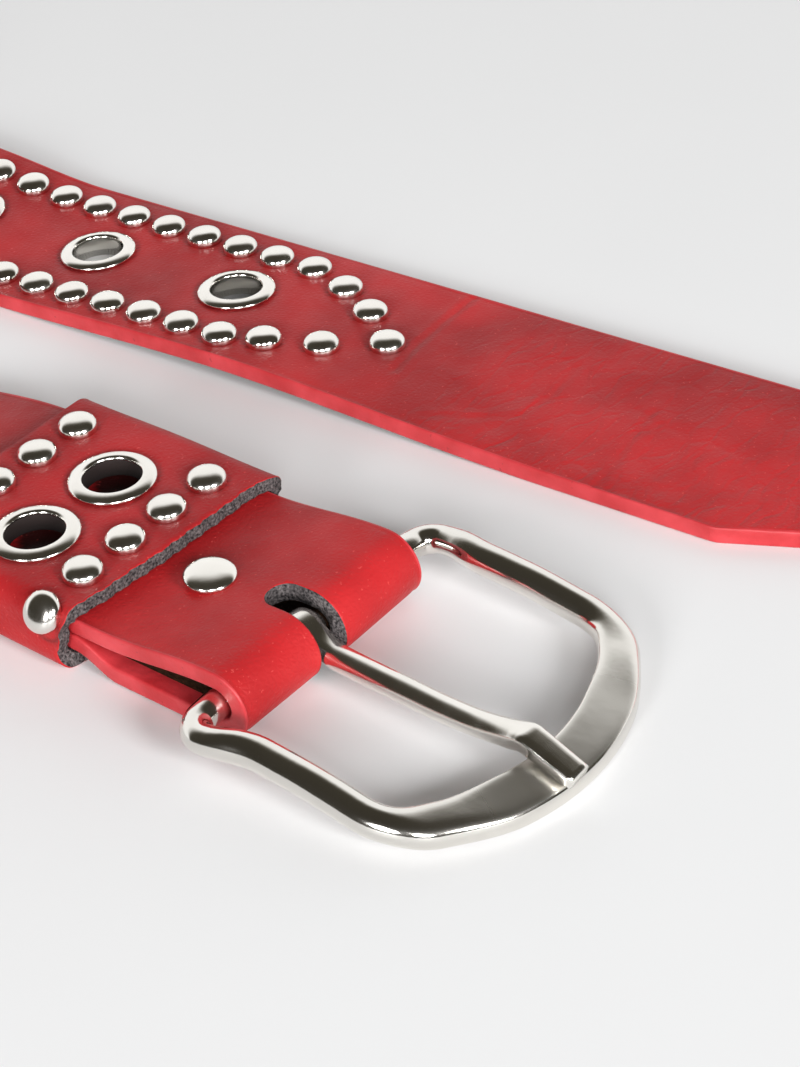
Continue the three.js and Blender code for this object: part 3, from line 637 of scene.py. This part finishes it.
# Relief of the strap's face (dents round studs and eyelets, bend marks, long waves, a soft edge) and its
# painted shade
def strapRelief(back, across):
    spots = np.column_stack([back.ravel(), across.ravel()])
    relief = 0.10 * np.sin(spots[:, 0] / 9.0 + 0.6) * np.sin(spots[:, 1] / 7.0 + spots[:, 0] / 31)
    dents, paintedShade = rimMarks(spots, studPlaces(), eyeletPlaces(), strap["dentMm"])
    relief -= dents
    # painted shade on the strap's face under the keeper's eyelet holes, where the keeper shades it
    for side in (1, -1):
        middle = (shoulderAt - keeperEyelets["middle"], keeperEyelets["shift"] + side * keeperEyelets["half"])
        paintedShade += smooth((6.5 - np.linalg.norm(spots - middle, axis=1)) / 1.0)
    for crease in strap["creases"]:
        distance = lineDistance(spots, crease["points"])
        relief += crease["depth"] * (0.7 * hump(distance - 1.4 * crease["width"], crease["width"])
                                     - 1.2 * hump(distance, 0.8 * crease["width"]))
    edge = np.abs(spots[:, 1]) - strap["halfWidth"]
    relief -= 0.16 * smooth(1 + edge / 2.2)
    return relief.reshape(back.shape), np.clip(paintedShade, 0, 1).reshape(back.shape)


# height of the tail's middle = low + (in the keeper - low) smooth((back - start) / (end - start))
def tailHeight(back):
    low = stackHeights["bar"] - stackHeights["foldRadius"]
    start, end = strap["tailClimb"]
    return low + (stackHeights["tail"] - low) * smooth((back - start) / (end - start))


# Sections of the strap from the hidden tail on: straight tail, half turn round the bar, then the laid belt
def strapStations():
    climbStart, climbEnd = strap["tailClimb"]
    x = stepsThrough([-strap["tailLength"], -climbEnd, -climbStart, 0.0], [2.5, 0.6, 1.5])[:-1]
    tailMiddle = np.column_stack([x, 0 * x, tailHeight(-x)])
    foldCount = strap["foldSteps"] + 1
    turn = np.linspace(-np.pi / 2, np.pi / 2, foldCount)
    bend = np.column_stack([np.cos(turn), 0 * turn, np.sin(turn)])
    foldMiddle = bend * stackHeights["foldRadius"] + (0, 0, stackHeights["bar"])
    foldLength = np.pi * stackHeights["foldRadius"]
    s = stepsThrough([0.0, 110.0, shoulderAt - 250, shoulderAt - 78, shoulderAt - 14, planLength],
                     [0.8, 3.0, 0.75, 0.5, 1.2])[1:]
    middle, across, face = strapFrame(s)
    past = np.clip((s - shoulderAt) / strap["tipLength"], 0, 1)
    half = strap["halfWidth"] + (strap["tipEndHalf"] - strap["halfWidth"]) * past
    return {
        "middle": np.concatenate([tailMiddle, foldMiddle, middle]),
        "across": np.concatenate([np.tile([0.0, -1.0, 0.0], (len(x) + foldCount, 1)), across]),
        "face": np.concatenate([np.tile([0.0, 0.0, -1.0], (len(x), 1)), bend, face]),
        "half": np.concatenate([np.full(len(x) + foldCount, strap["halfWidth"]), half]),
        "s": np.concatenate([x - foldLength,
                             foldLength * (np.arange(foldCount) / strap["foldSteps"] - 1), s]),
    }


# point = middle + across (core (half - corner) + offset) + face (height + relief on the upper face)
def makeStrap():
    stations = strapStations()
    core, offset, height, around, part = roundedProfile(strap["halfWidth"], strap["halfLeather"],
                                                        strap["cornerRadius"], 50, 4, 16)
    rows, columns = len(stations["s"]), len(core)
    place = core * (stations["half"][:, None] - strap["cornerRadius"]) + offset
    back = np.broadcast_to((shoulderAt - stations["s"])[:, None], place.shape)
    relief, paintedShade = strapRelief(back, place)
    onFace = height > strap["halfLeather"] - 1e-6
    lift = height + np.where(onFace, relief, 0)
    points = (stations["middle"][:, None] + stations["across"][:, None] * place[..., None]
              + stations["face"][:, None] * lift[..., None]).reshape(-1, 3)
    wrinkled = np.clip(smooth((72 - back) / 30) + 0.12, 0, 1)
    quads = gridQuads(rows, columns)
    caps = endCaps(rows, columns, rows * columns, rows * columns + 1)
    points = np.concatenate([points, stations["middle"][[0, -1]]])
    slots = partSlots(part, rows - 1)
    uv = gridUv(stations["s"] / 1000, around / 1000)
    values = {"paintedShade": np.append(paintedShade, [0, 0]), "wrinkled": np.append(wrinkled, [0, 0])}
    piece = makePiece("strap_leather", points, quads, caps, [strapRed, edgeRed, brownSuede, greyRaw], slots,
                      3, uv, values)
    cutters = [holeCutter(name, holes["eyelet"], (-6, 6), holes["eyeletSides"], seatOnStrap(*place))
               for name, place in eyeletPlaces().items()]
    cutters.append(slotCutter())
    rivetSeat = (np.array([-rivetShape["back"], rivetShape["shift"], 5.0]), np.eye(3))
    cutters.append(holeCutter("rivet", holes["rivet"], (-20, 20), holes["rivetSides"], rivetSeat))
    cutOut(piece, cutters)
    finishPiece(piece, "belt", "red_leather", "strap")


# A plain cylinder of a given radius between two heights over its seat
def holeCutter(name, radius, heights, sides, seat):
    low, high = heights
    outline = [(0, low), (radius, low), (radius, high), (0, high)]
    return turnedPiece(f"hole_{name}", outline, sides, seat, greyRaw)


# The prong's way through the fold: a straight slot with a round end, as a flat outline stood up through z
def slotCutter():
    slot = strap["slot"]
    half = slot["width"] / 2
    reach = 12.0
    turn = np.linspace(np.pi / 2, 1.5 * np.pi, 25)
    x = np.concatenate([[reach], half - slot["length"] + half * np.cos(turn), [reach]])
    y = np.concatenate([[half], half * np.sin(turn), [-half]]) + slot["shift"]
    n = len(x)
    points = np.concatenate([np.column_stack([x, y, np.full(n, z)]) for z in (-5.0, 20.0)]
                            + [[(0, slot["shift"], -5.0), (0, slot["shift"], 20.0)]])
    return makePiece("hole_slot", points, gridQuads(2, n), endCaps(2, n, 2 * n, 2 * n + 1), [greyRaw])


makeStrap()
print("strap made")


keeper = {
    "leather": 2.4,
    "innerRadius": 0.8,
    "gap": 0.3,
    "roundEdge": 0.35,
    # front edge x at arc places across the top (far is positive), then down the near side
    "front": [(-34, -26.6), (-30, -27.2), (-27, -28.0), (-23, -27.0), (-20, -25.6), (-12, -24.7), (-1, -23.9),
              (15, -23.5), (20, -22.4), (27, -24.8), (34, -26.2)],
    "dentMm": 0.2,
}


# Middle line of the band in its y-z section by arc length, far side positive from the middle of the top.
# Straight stretches and quarter turns of one radius: point and outward direction
def keeperPath(arc):
    radius = keeper["innerRadius"] + keeper["leather"] / 2
    halfWidth = strap["halfWidth"] + keeper["gap"] + keeper["leather"] / 2
    low = keeper["leather"] / 2
    high = stackHeights["keeperTop"] - keeper["leather"] / 2
    flat, upright = halfWidth - radius, (high - low) / 2 - radius
    quarter = np.pi * radius / 2
    marks = np.cumsum([0, flat, quarter, 2 * upright, quarter, flat])
    a = np.abs(arc)
    turnTop = np.clip((a - marks[1]) / radius, 0, np.pi / 2)
    turnLow = np.clip((a - marks[3]) / radius, 0, np.pi / 2)
    angle = turnTop + turnLow
    y = (np.clip(a, 0, flat) + radius * np.sin(turnTop) - radius * (1 - np.cos(turnLow))
         - np.clip(a - marks[4], 0, flat))
    z = (high - radius * (1 - np.cos(turnTop)) - np.clip(a - marks[2], 0, 2 * upright)
         - radius * np.sin(turnLow))
    side = np.sign(arc) + (arc == 0)
    return np.column_stack([side * y, z]), np.column_stack([side * np.sin(angle), np.cos(angle)]), marks[5]


# Place and axes on the keeper's outer face: flat on top, then round its corner and down the side
def seatOnKeeper(x, arc):
    radius = keeper["innerRadius"] + keeper["leather"]
    flat = strap["halfWidth"] + keeper["gap"] + keeper["leather"] - radius
    angle = min(max(abs(arc) - flat, 0) / radius, math.pi / 2)
    side = math.copysign(1, arc)
    y = side * (min(abs(arc), flat) + radius * math.sin(angle))
    z = stackHeights["keeperTop"] - radius * (1 - math.cos(angle))
    face = np.array([0, side * math.sin(angle), math.cos(angle)])
    along = np.array([1.0, 0, 0])
    return np.array([x, y, z]), np.array([along, np.cross(face, along), face])


# x = -middle +- half, arc = (middle of the row - i) pitch + shift
def keeperStudPlaces():
    places = {}
    for row, side in (("front", 1), ("back", -1)):
        for i in range(keeperStuds["count"]):
            arc = ((keeperStuds["count"] - 1) / 2 - i) * keeperStuds["pitch"] + keeperStuds["shift"]
            places[f"keeper_stud_{row}_{i + 1}"] = (-keeperStuds["middle"] + side * keeperStuds["half"], arc)
    return places


# x = -middle, arc = shift +- half
def keeperEyeletPlaces():
    middle, half, shift = (keeperEyelets[k] for k in ("middle", "half", "shift"))
    return {"keeper_eyelet_far": (-middle, shift + half), "keeper_eyelet_near": (-middle, shift - half)}


# point = (mid + core (half - edge) + offset along x, middle + outward (height + relief) across it), where
# mid and half come from the front edge's table and the straight back edge
def makeKeeper():
    _, _, reach = keeperPath(np.array([0.0]))
    arcs = (np.arange(240) / 240 * 2 - 1) * reach
    middle, outward, _ = keeperPath(arcs)
    core, offset, height, around, part = roundedProfile(1.0, keeper["leather"] / 2, keeper["roundEdge"],
                                                        52, 4, 20)
    front = readTable(keeper["front"], arcs) + 0.12 * np.sin(arcs * 1.7) + 0.08 * np.sin(arcs * 3.9 + 1)
    backEdge = np.full(len(arcs), -keeperReach["back"])
    mid, half = (front + backEdge) / 2, (front - backEdge) / 2
    x = mid[:, None] + core * (half[:, None] - keeper["roundEdge"]) + offset
    spots = np.column_stack([x.ravel(), np.broadcast_to(arcs[:, None], x.shape).ravel()])
    relief = 0.10 * np.sin(spots[:, 0] / 5.5) * np.sin(spots[:, 1] / 6.0 + 1)
    dents, paintedShade = rimMarks(spots, keeperStudPlaces(), keeperEyeletPlaces(), keeper["dentMm"])
    relief -= dents
    onFace = height > keeper["leather"] / 2 - 1e-6
    lift = height + np.where(onFace, relief.reshape(x.shape), 0)
    yz = middle[:, None] + outward[:, None] * lift[..., None]
    yz[..., 1] = np.maximum(yz[..., 1], 0.02)
    points = np.concatenate([x[..., None], yz], -1).reshape(-1, 3)
    quads = gridQuads(len(arcs), len(core), wrapRows=True)
    part = np.where(height > keeper["leather"] / 2 - 0.8 * keeper["roundEdge"], 0, np.maximum(part, 1))
    slots = partSlots(part, len(arcs))
    uv = gridUv(arcs / 1000, around / 1000, wrapRows=True)
    values = {"paintedShade": np.clip(paintedShade, 0, 1), "wrinkled": np.full(len(spots), 0.15)}
    piece = makePiece("keeper_leather_band", points, quads, (), [keeperRed, greyRaw, greyRaw], slots, 1, uv,
                      values)
    cutters = [holeCutter(name, holes["eyelet"], (-3.2, 3), holes["eyeletSides"], seatOnKeeper(*place))
               for name, place in keeperEyeletPlaces().items()]
    cutOut(piece, cutters)
    finishPiece(piece, "belt", "keeper_leather", "keeper")


makeKeeper()
print("keeper made")


studShape = {"radius": 3.15, "height": 2.0, "fullness": 0.74, "sides": 32, "domeSteps": 11, "tiltDeg": 1.5}
eyeletShape = {"outer": 6.85, "hole": 4.45, "lip": 0.55, "wall": 0.5, "crown": 0.95, "foot": 0.08,
               "sides": 48}


# A dome that meets the leather: r = radius cos^q t, z = height sin^q t, down to just under the face
def studProfile():
    t = np.linspace(0, np.pi / 2, studShape["domeSteps"] + 1)
    r, q = studShape["radius"], studShape["fullness"]
    dome = list(zip(r * np.cos(t) ** q, studShape["height"] * np.sin(t) ** q))
    dome[-1] = (0, studShape["height"])
    return [(0, -0.5), (r - 0.1, -0.5)] + dome


# The flange climbs from the leather, z = foot + (crown - foot) sin^0.7, to a lip of one small half round
# at the hole
def eyeletProfile(depth):
    outer, hole, crown, lip, foot = (eyeletShape[k] for k in ("outer", "hole", "crown", "lip", "foot"))
    climb = np.linspace(0, np.pi / 2, 9)
    top = hole + lip
    flange = list(zip(outer - (outer - top) * (1 - np.cos(climb)) ** 0.8,
                      foot + (crown - foot) * np.sin(climb) ** 0.7))
    over = np.linspace(0, np.pi / 2, 6)[1:]
    rolled = list(zip(top - lip * np.sin(over), crown - lip * (1 - np.cos(over))))
    barrel = hole + eyeletShape["wall"]
    return [(barrel, -0.2), (outer - 0.2, -0.2)] + flange + rolled + [(hole, -depth), (barrel, -depth)]


rng = np.random.default_rng(7)


# Seat turned by a small tilt about its two flat axes
def nudged(seat, degrees):
    origin, axes = seat
    a, b = np.radians(rng.normal(0, degrees, 2))
    tip = np.array(Matrix.Rotation(a, 3, "X") @ Matrix.Rotation(b, 3, "Y"))
    return origin, tip @ axes


for places, seatOf in ((studPlaces(), seatOnStrap), (keeperStudPlaces(), seatOnKeeper)):
    for name, place in places.items():
        finishPiece(turnedPiece(name.replace("stud", "dome"), studProfile(), studShape["sides"],
                                nudged(seatOf(*place), studShape["tiltDeg"]), nickel), "belt", "nickel", name)
for name, place in eyeletPlaces().items():
    finishPiece(turnedPiece(name.replace("eyelet", "ring"), eyeletProfile(3.0)[::-1], eyeletShape["sides"],
                            seatOnStrap(*place), nickel, True), "belt", "nickel", name)
# the keeper eyelets' barrels take the painted shade material inside the hole
for name, place in keeperEyeletPlaces().items():
    finishPiece(turnedPiece(name.replace("eyelet", "ring"), eyeletProfile(2.4)[::-1], eyeletShape["sides"],
                            seatOnKeeper(*place), nickel, True, eyeletShape["hole"] + 0.01, paintedShadeBore),
                "belt", "nickel", name)


# A low dome, r = radius cos^q t, z = foot + (height - foot) sin^q t, on a post with a back cap
def makeRivet():
    r = rivetShape
    low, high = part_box("rivet")
    top = high[2] * 1000 - home[2] - r["height"]
    bottom = low[2] * 1000 - home[2] - top
    t = np.linspace(0, np.pi / 2, 11)
    dome = list(zip(r["radius"] * np.cos(t) ** r["fullness"],
                    r["foot"] + (r["height"] - r["foot"]) * np.sin(t) ** r["fullness"]))
    dome[-1] = (0, r["height"])
    profile = [(0, bottom), (r["capRadius"] * 0.85, bottom), (r["capRadius"], bottom + r["capHeight"]),
               (r["postRadius"], bottom + r["capHeight"]), (r["postRadius"], 0.1),
               (r["radius"] - 0.2, 0.1)] + dome
    tilt = np.array(Matrix.Rotation(math.radians(-r["tiltDeg"]), 3, "Y"))
    seat = (np.array([-r["back"], r["shift"], top]), tilt)
    finishPiece(turnedPiece("rivet_dome", profile, r["sides"], seat, nickel), "belt", "nickel", "rivet")


makeRivet()
print("studs, eyelets and rivet made")


buckle = {
    "barRadius": 2.2,
    "sideRadius": 2.45,
    "length": 44.5,
    "halfWidth": 25.0,
    "shift": 1.3,
    "rearCorner": 3.4,
    "rearDip": {"far": 0.5, "near": 0.2, "from": 20.5, "over": 3.4, "front": 1.5, "fade": 14.0},
    "rearFlare": {"far": 1.0, "near": 1.8, "length": 9.0},
    "sideArch": {"height": 1.0, "rise": 8.0, "from": 18.0, "fall": 16.0},
    "frontCorner": 11.3,
    "frontArc": 34.0,
    "frontHalfWidth": 3.3,
    "frontHalfHeight": 1.5,
    "shear": 0.3,
    "squareness": 0.36,
    "cornerFlatness": 0.55,
    "floorGap": 0.05,
    "sides": 40,
}
prong = {
    "wall": 1.1,
    "gap": 0.15,
    "halfWidth": 2.0,
    "shift": -1.15,
    "lean": -1.8,
    "curlStartDeg": -70.0,
    "curlEndDeg": 36.0,
    "curlSteps": 40,
    "curlSquareness": 0.6,
    "bendSteps": 18,
    "bendPull": 3.6,  # how far the curl's direction carries into the bend
    "tonguePull": (7.0, -0.1),  # and the tongue's, backwards from its start
    "sides": 28,
    # share of the bar-to-front distance, middle above the bar, half height, width share, squareness
    "table": [(0.16, -1.15, 1.9, 1, 1), (0.4, -1.1, 1.9, 1, 1), (0.58, -1.0, 1.9, 1, 1),
              (0.72, -0.45, 1.85, 1, 1), (0.8, 0.15, 1.8, 1, 0.9), (0.86, 0.72, 1.7, 1.05, 0.75),
              (0.89, 1.12, 1.5, 1.08, 0.6), (0.907, 1.25, 1.4, 1.1, 0.5), (0.925, 1.04, 1.38, 1.1, 0.5),
              (1.0, -0.06, 1.25, 1.05, 0.5), (1.09, -1.35, 1.1, 1, 0.5)],
}


# Half of the frame's middle line: x, y, outward angle and share of the front bar's section.
# Rear bar, quarter turn, side, corner turn and front arc, one after another
def framePlan(flareWidth):
    b = buckle
    arcCentre = b["length"] - b["frontArc"]
    inner, rise = b["frontArc"] - b["frontCorner"], b["halfWidth"] - b["frontCorner"]
    cornerX = arcCentre + math.sqrt(inner * inner - rise * rise)
    meet = math.atan2(rise, cornerX - arcCentre)
    rearY = b["halfWidth"] + flareWidth - b["rearCorner"]
    u = np.linspace(0, 1, 13)[1:]
    rear = [(0, rearY * k, math.pi, 0) for k in np.linspace(0.02, 1, 16)]
    turn = math.pi - u * math.pi / 2
    knob = np.column_stack([b["rearCorner"] * (1 + np.cos(turn)), rearY + b["rearCorner"] * np.sin(turn),
                            turn, 0 * u])
    k = np.linspace(0, 1, 21)[1:]
    past = (cornerX - b["rearCorner"]) * k
    wider = flareWidth * (1 - smooth(past / b["rearFlare"]["length"]))
    side = np.column_stack([b["rearCorner"] + past, b["halfWidth"] + wider, np.full(20, math.pi / 2), 0 * k])
    turn = math.pi / 2 + (meet - math.pi / 2) * k
    corner = np.column_stack([cornerX + b["frontCorner"] * np.cos(turn),
                              rise + b["frontCorner"] * np.sin(turn),
                              turn, b["cornerFlatness"] * smooth((k - 0.3) / 0.7)])
    turn = meet * (1 - k)
    flat = b["cornerFlatness"] + (1 - b["cornerFlatness"]) * smooth(k * 2)
    arc = np.column_stack([arcCentre + b["frontArc"] * np.cos(turn), b["frontArc"] * np.sin(turn),
                           turn, flat])
    return np.concatenate([rear, knob, side, corner, arc])


# z = bar - slope x - dip at the rear corners + arch along the sides
def frameHeight(x, y, slope):
    dip, arch = buckle["rearDip"], buckle["sideArch"]
    drop = np.where(y > 0, dip["far"], dip["near"])
    corner = smooth((np.abs(y) - dip["from"]) / dip["over"])
    low = drop * corner * (1 - smooth((x - dip["front"]) / dip["fade"]))
    high = arch["height"] * smooth(x / arch["rise"]) * (1 - smooth((x - arch["from"]) / arch["fall"]))
    return stackHeights["bar"] - slope * x - low + high


# Section: out = halfWidth sq(cos a), up = halfHeight sq(sin a) - shear front out, on the sloping plane
def makeFrame():
    b = buckle
    half = framePlan(b["rearFlare"]["far"])
    other = framePlan(b["rearFlare"]["near"])[:-1][::-1] * (1, -1, -1, 1)
    x, y, out, front = np.concatenate([half, other]).T[:, :, None]
    rod = np.where(x < b["rearCorner"], b["barRadius"],
                   b["barRadius"] + (b["sideRadius"] - b["barRadius"]) * smooth((x - b["rearCorner"]) / 6))
    wide = rod + (b["frontHalfWidth"] - rod) * front
    high = rod + (b["frontHalfHeight"] - rod) * front
    q = 1 + (b["squareness"] - 1) * front
    angle = 2 * np.pi * (np.arange(b["sides"]) + 0.5) / b["sides"]
    o = wide * squared(np.cos(angle), q)
    up = high * squared(np.sin(angle), q) - b["shear"] * front * o
    frontMiddle = b["frontHalfHeight"] + b["shear"] * b["frontHalfWidth"] * 0.75 + b["floorGap"]
    slope = (stackHeights["bar"] - frontMiddle) / b["length"]
    z = np.maximum(frameHeight(x, y, slope) + up, b["floorGap"])
    points = np.stack([x + o * np.cos(out), y + o * np.sin(out) + b["shift"], z], -1).reshape(-1, 3)
    satin = (front * np.clip((np.sin(angle) - 0.35) * 6, 0, 1)
             * np.clip((0.86 - np.abs(np.cos(angle))) * 8, 0, 1))
    quads = gridQuads(len(x), b["sides"], wrapRows=True)
    piece = makePiece("frame_metal", points, quads, (), [frameNickel], values={"satin": satin})
    finishPiece(piece, "buckle_frame", "satin_nickel", "buckle_frame")


# Path in x-z: round the bar from under it over the back and the top, one cubic down to the tongue,
# h00 start + h10 pull + h01 end + h11 tongue's pull, then the table
def makeProng():
    p = prong
    eye = buckle["barRadius"] + p["gap"] + p["wall"] / 2
    curlCount, sides = p["curlSteps"], p["sides"]
    turn = np.radians(np.linspace(p["curlStartDeg"], p["curlEndDeg"] - 360, curlCount))
    curl = eye * np.column_stack([np.cos(turn), np.sin(turn)])
    rows = np.array(p["table"])
    share = stepsThrough(list(rows[:, 0]), [0.02, 0.03, 0.02, 0.01, 0.008, 0.005, 0.004, 0.004, 0.02, 0.02])
    tongue = np.column_stack([share * buckle["length"], curveThrough(rows[:, [0, 1]], share)])
    u = np.linspace(0, 1, p["bendSteps"])[1:-1, None]
    start, end = curl[-1], tongue[0]
    out = np.array([np.sin(turn[-1]), -np.cos(turn[-1])])
    bend = (start * (2 * u**3 - 3 * u**2 + 1) + p["bendPull"] * out * (u**3 - 2 * u**2 + u)
            + end * (3 * u**2 - 2 * u**3) + np.array(p["tonguePull"]) * (u**3 - u**2))
    path = np.concatenate([curl, bend, tongue])
    blend = np.concatenate([np.zeros(curlCount), smooth(u[:, 0]), np.ones(len(share))])
    before = curlCount + len(u)
    tongueHigh = np.concatenate([np.full(before, rows[0, 2]), curveThrough(rows[:, [0, 2]], share)])
    high = p["wall"] / 2 + (tongueHigh - p["wall"] / 2) * blend
    wide = p["halfWidth"] * np.concatenate([np.ones(before), curveThrough(rows[:, [0, 3]], share)])
    boxy = p["curlSquareness"]
    q = np.concatenate([np.full(curlCount, boxy), boxy + (1 - boxy) * smooth(u[:, 0]),
                        curveThrough(rows[:, [0, 4]], share)])
    tangent = unit(np.gradient(path, axis=0))
    normal = np.column_stack([-tangent[:, 1], tangent[:, 0]])
    lean = p["lean"] * np.clip(path[:, 0] / buckle["length"], 0, 2) * blend
    angle = 2 * np.pi * (np.arange(sides) + 0.5) / sides
    across = wide[:, None] * squared(np.cos(angle), q[:, None])
    up = high[:, None] * squared(np.sin(angle), q[:, None])
    points = np.stack([path[:, :1] + normal[:, :1] * up, lean[:, None] + p["shift"] + across,
                       stackHeights["bar"] + path[:, 1:] + normal[:, 1:] * up], -1).reshape(-1, 3)
    count = len(path) * sides
    ends = [0, -1]
    middles = np.column_stack([path[ends, 0], lean[ends] + p["shift"], stackHeights["bar"] + path[ends, 1]])
    caps = endCaps(len(path), sides, count, count + 1)
    piece = makePiece("prong_metal", np.concatenate([points, middles]), gridQuads(len(path), sides), caps,
                      [nickel])
    finishPiece(piece, "prong", "nickel", "prong")


makeFrame()
makeProng()
print("buckle made")


# One square at the height of the surface
def makeFloor():
    size, low = 6.0, -0.00005
    mesh = bpy.data.meshes.new("floor")
    mesh.from_pydata([(-size, -size, low), (size, -size, low), (size, size, low), (-size, size, low)], [],
                     [(0, 1, 2, 3)])
    material, tree, shader = newMaterial("pale_surface", (0.83, 0.835, 0.845), 0.6)
    tree.links.new(mixColor(tree, noiseOf(tree, 60, 2), (0.82, 0.825, 0.835), (0.84, 0.845, 0.855)),
                   shader.inputs["Base Color"])
    mesh.materials.append(material)
    floor = bpy.data.objects.new("floor", mesh)
    bpy.context.scene.collection.objects.link(floor)


room = {
    "wallDeg": 131.7,
    "strength": 1.15,
    # degrees up from the wall's foot and over to the other side, and the colour seen there
    "shades": [(0, (0.9, 0.9, 0.9)), (25, (1.0, 1.0, 1.0)), (45, (0.95, 0.95, 0.94)),
               (53, (0.42, 0.41, 0.39)), (60, (0.09, 0.083, 0.068)), (70, (0.045, 0.04, 0.03)),
               (140, (0.035, 0.031, 0.024)), (180, (0.06, 0.056, 0.048))],
}


# Room light: a wide white wall behind the belt and a dark room over it and on the camera's side.
# turn = atan2(d . up, d . wall) / pi, 0 at the wall's foot and 1 at the opposite side's foot
def makeWorld():
    world = bpy.data.worlds.new("room")
    bpy.context.scene.world = world
    world.use_nodes = True
    tree = world.node_tree
    background = tree.nodes["Background"]
    coordinate = addNode(tree, "ShaderNodeTexCoord")
    azimuth = math.radians(room["wallDeg"])
    dots = []
    for direction in ((0.0, 0.0, 1.0), (math.cos(azimuth), math.sin(azimuth), 0.0)):
        dot = addNode(tree, "ShaderNodeVectorMath", operation="DOT_PRODUCT")
        dot.inputs[1].default_value = direction
        tree.links.new(coordinate.outputs["Generated"], dot.inputs[0])
        dots.append(dot)
    turn = addNode(tree, "ShaderNodeMath", operation="ARCTAN2")
    tree.links.new(dots[0].outputs["Value"], turn.inputs[0])
    tree.links.new(dots[1].outputs["Value"], turn.inputs[1])
    share = spread(tree, turn.outputs[0], 0, math.pi, 0, 1)
    ramp = addNode(tree, "ShaderNodeValToRGB")
    tree.links.new(share, ramp.inputs["Fac"])
    tree.links.new(ramp.outputs["Color"], background.inputs["Color"])
    ends = ramp.color_ramp.elements
    for element, (position, shade) in zip((ends[0], ends[1]), (room["shades"][0], room["shades"][-1])):
        element.position, element.color = position / 180, (*shade, 1)
    for position, shade in room["shades"][1:-1]:
        ends.new(position / 180).color = (*shade, 1)
    background.inputs["Strength"].default_value = room["strength"]


# direction round from +x, height above the floor in degrees, size in metres, power
lamps = {
    "front": {"turnDeg": -10.0, "heightDeg": 24.0, "size": 1.0, "power": 76.0},
    "near": {"turnDeg": -45.0, "heightDeg": 24.0, "size": 1.0, "power": 56.0},
    "side": {"turnDeg": -82.0, "heightDeg": 20.0, "size": 1.0, "power": 48.0},
}
lampAway = 3000.0


# A disk lamp 3 m away that faces the belt: place = lampAway (cos t cos h, sin t cos h, sin h)
def makeLight(name, lamp):
    light = bpy.data.lights.new(name, "AREA")
    light.shape, light.size, light.energy = "DISK", lamp["size"], lamp["power"]
    holder = bpy.data.objects.new(name, light)
    bpy.context.scene.collection.objects.link(holder)
    t, h = math.radians(lamp["turnDeg"]), math.radians(lamp["heightDeg"])
    back = np.array([math.cos(t) * math.cos(h), math.sin(t) * math.cos(h), math.sin(h)])
    side = unit(np.cross((0.0, 0.0, 1.0), back))
    axes = np.column_stack([side, np.cross(back, side), back])
    holder.matrix_world = Matrix.Translation((home + back * lampAway) / 1000) @ Matrix(axes.tolist()).to_4x4()


view = {"place": (193.5, -195.5, 222.17), "headingDeg": 131.735, "pitchDeg": 36.28, "rollDeg": -5.69,
        "lens": 84.35}


# forward = (cos h cos p, sin h cos p, -sin p), then right and down turned by the roll
def makeCamera():
    h, p, r = (math.radians(view[k]) for k in ("headingDeg", "pitchDeg", "rollDeg"))
    forward = np.array([math.cos(h) * math.cos(p), math.sin(h) * math.cos(p), -math.sin(p)])
    level = np.array([math.sin(h), -math.cos(h), 0])
    down = np.cross(forward, level)
    right = math.cos(r) * level - math.sin(r) * down
    down = math.sin(r) * level + math.cos(r) * down
    data = bpy.data.cameras.new("camera")
    data.lens, data.sensor_width = view["lens"], 36.0
    camera = bpy.data.objects.new("camera", data)
    bpy.context.scene.collection.objects.link(camera)
    axes = Matrix(np.column_stack([right, -down, -forward]).tolist())
    camera.matrix_world = Matrix.Translation((home + view["place"]) / 1000) @ axes.to_4x4()
    bpy.context.scene.camera = camera


makeFloor()
makeWorld()
for name, lamp in lamps.items():
    makeLight(name, lamp)
makeCamera()
bpy.context.scene.view_settings.view_transform = "Standard"
print("scene lit")
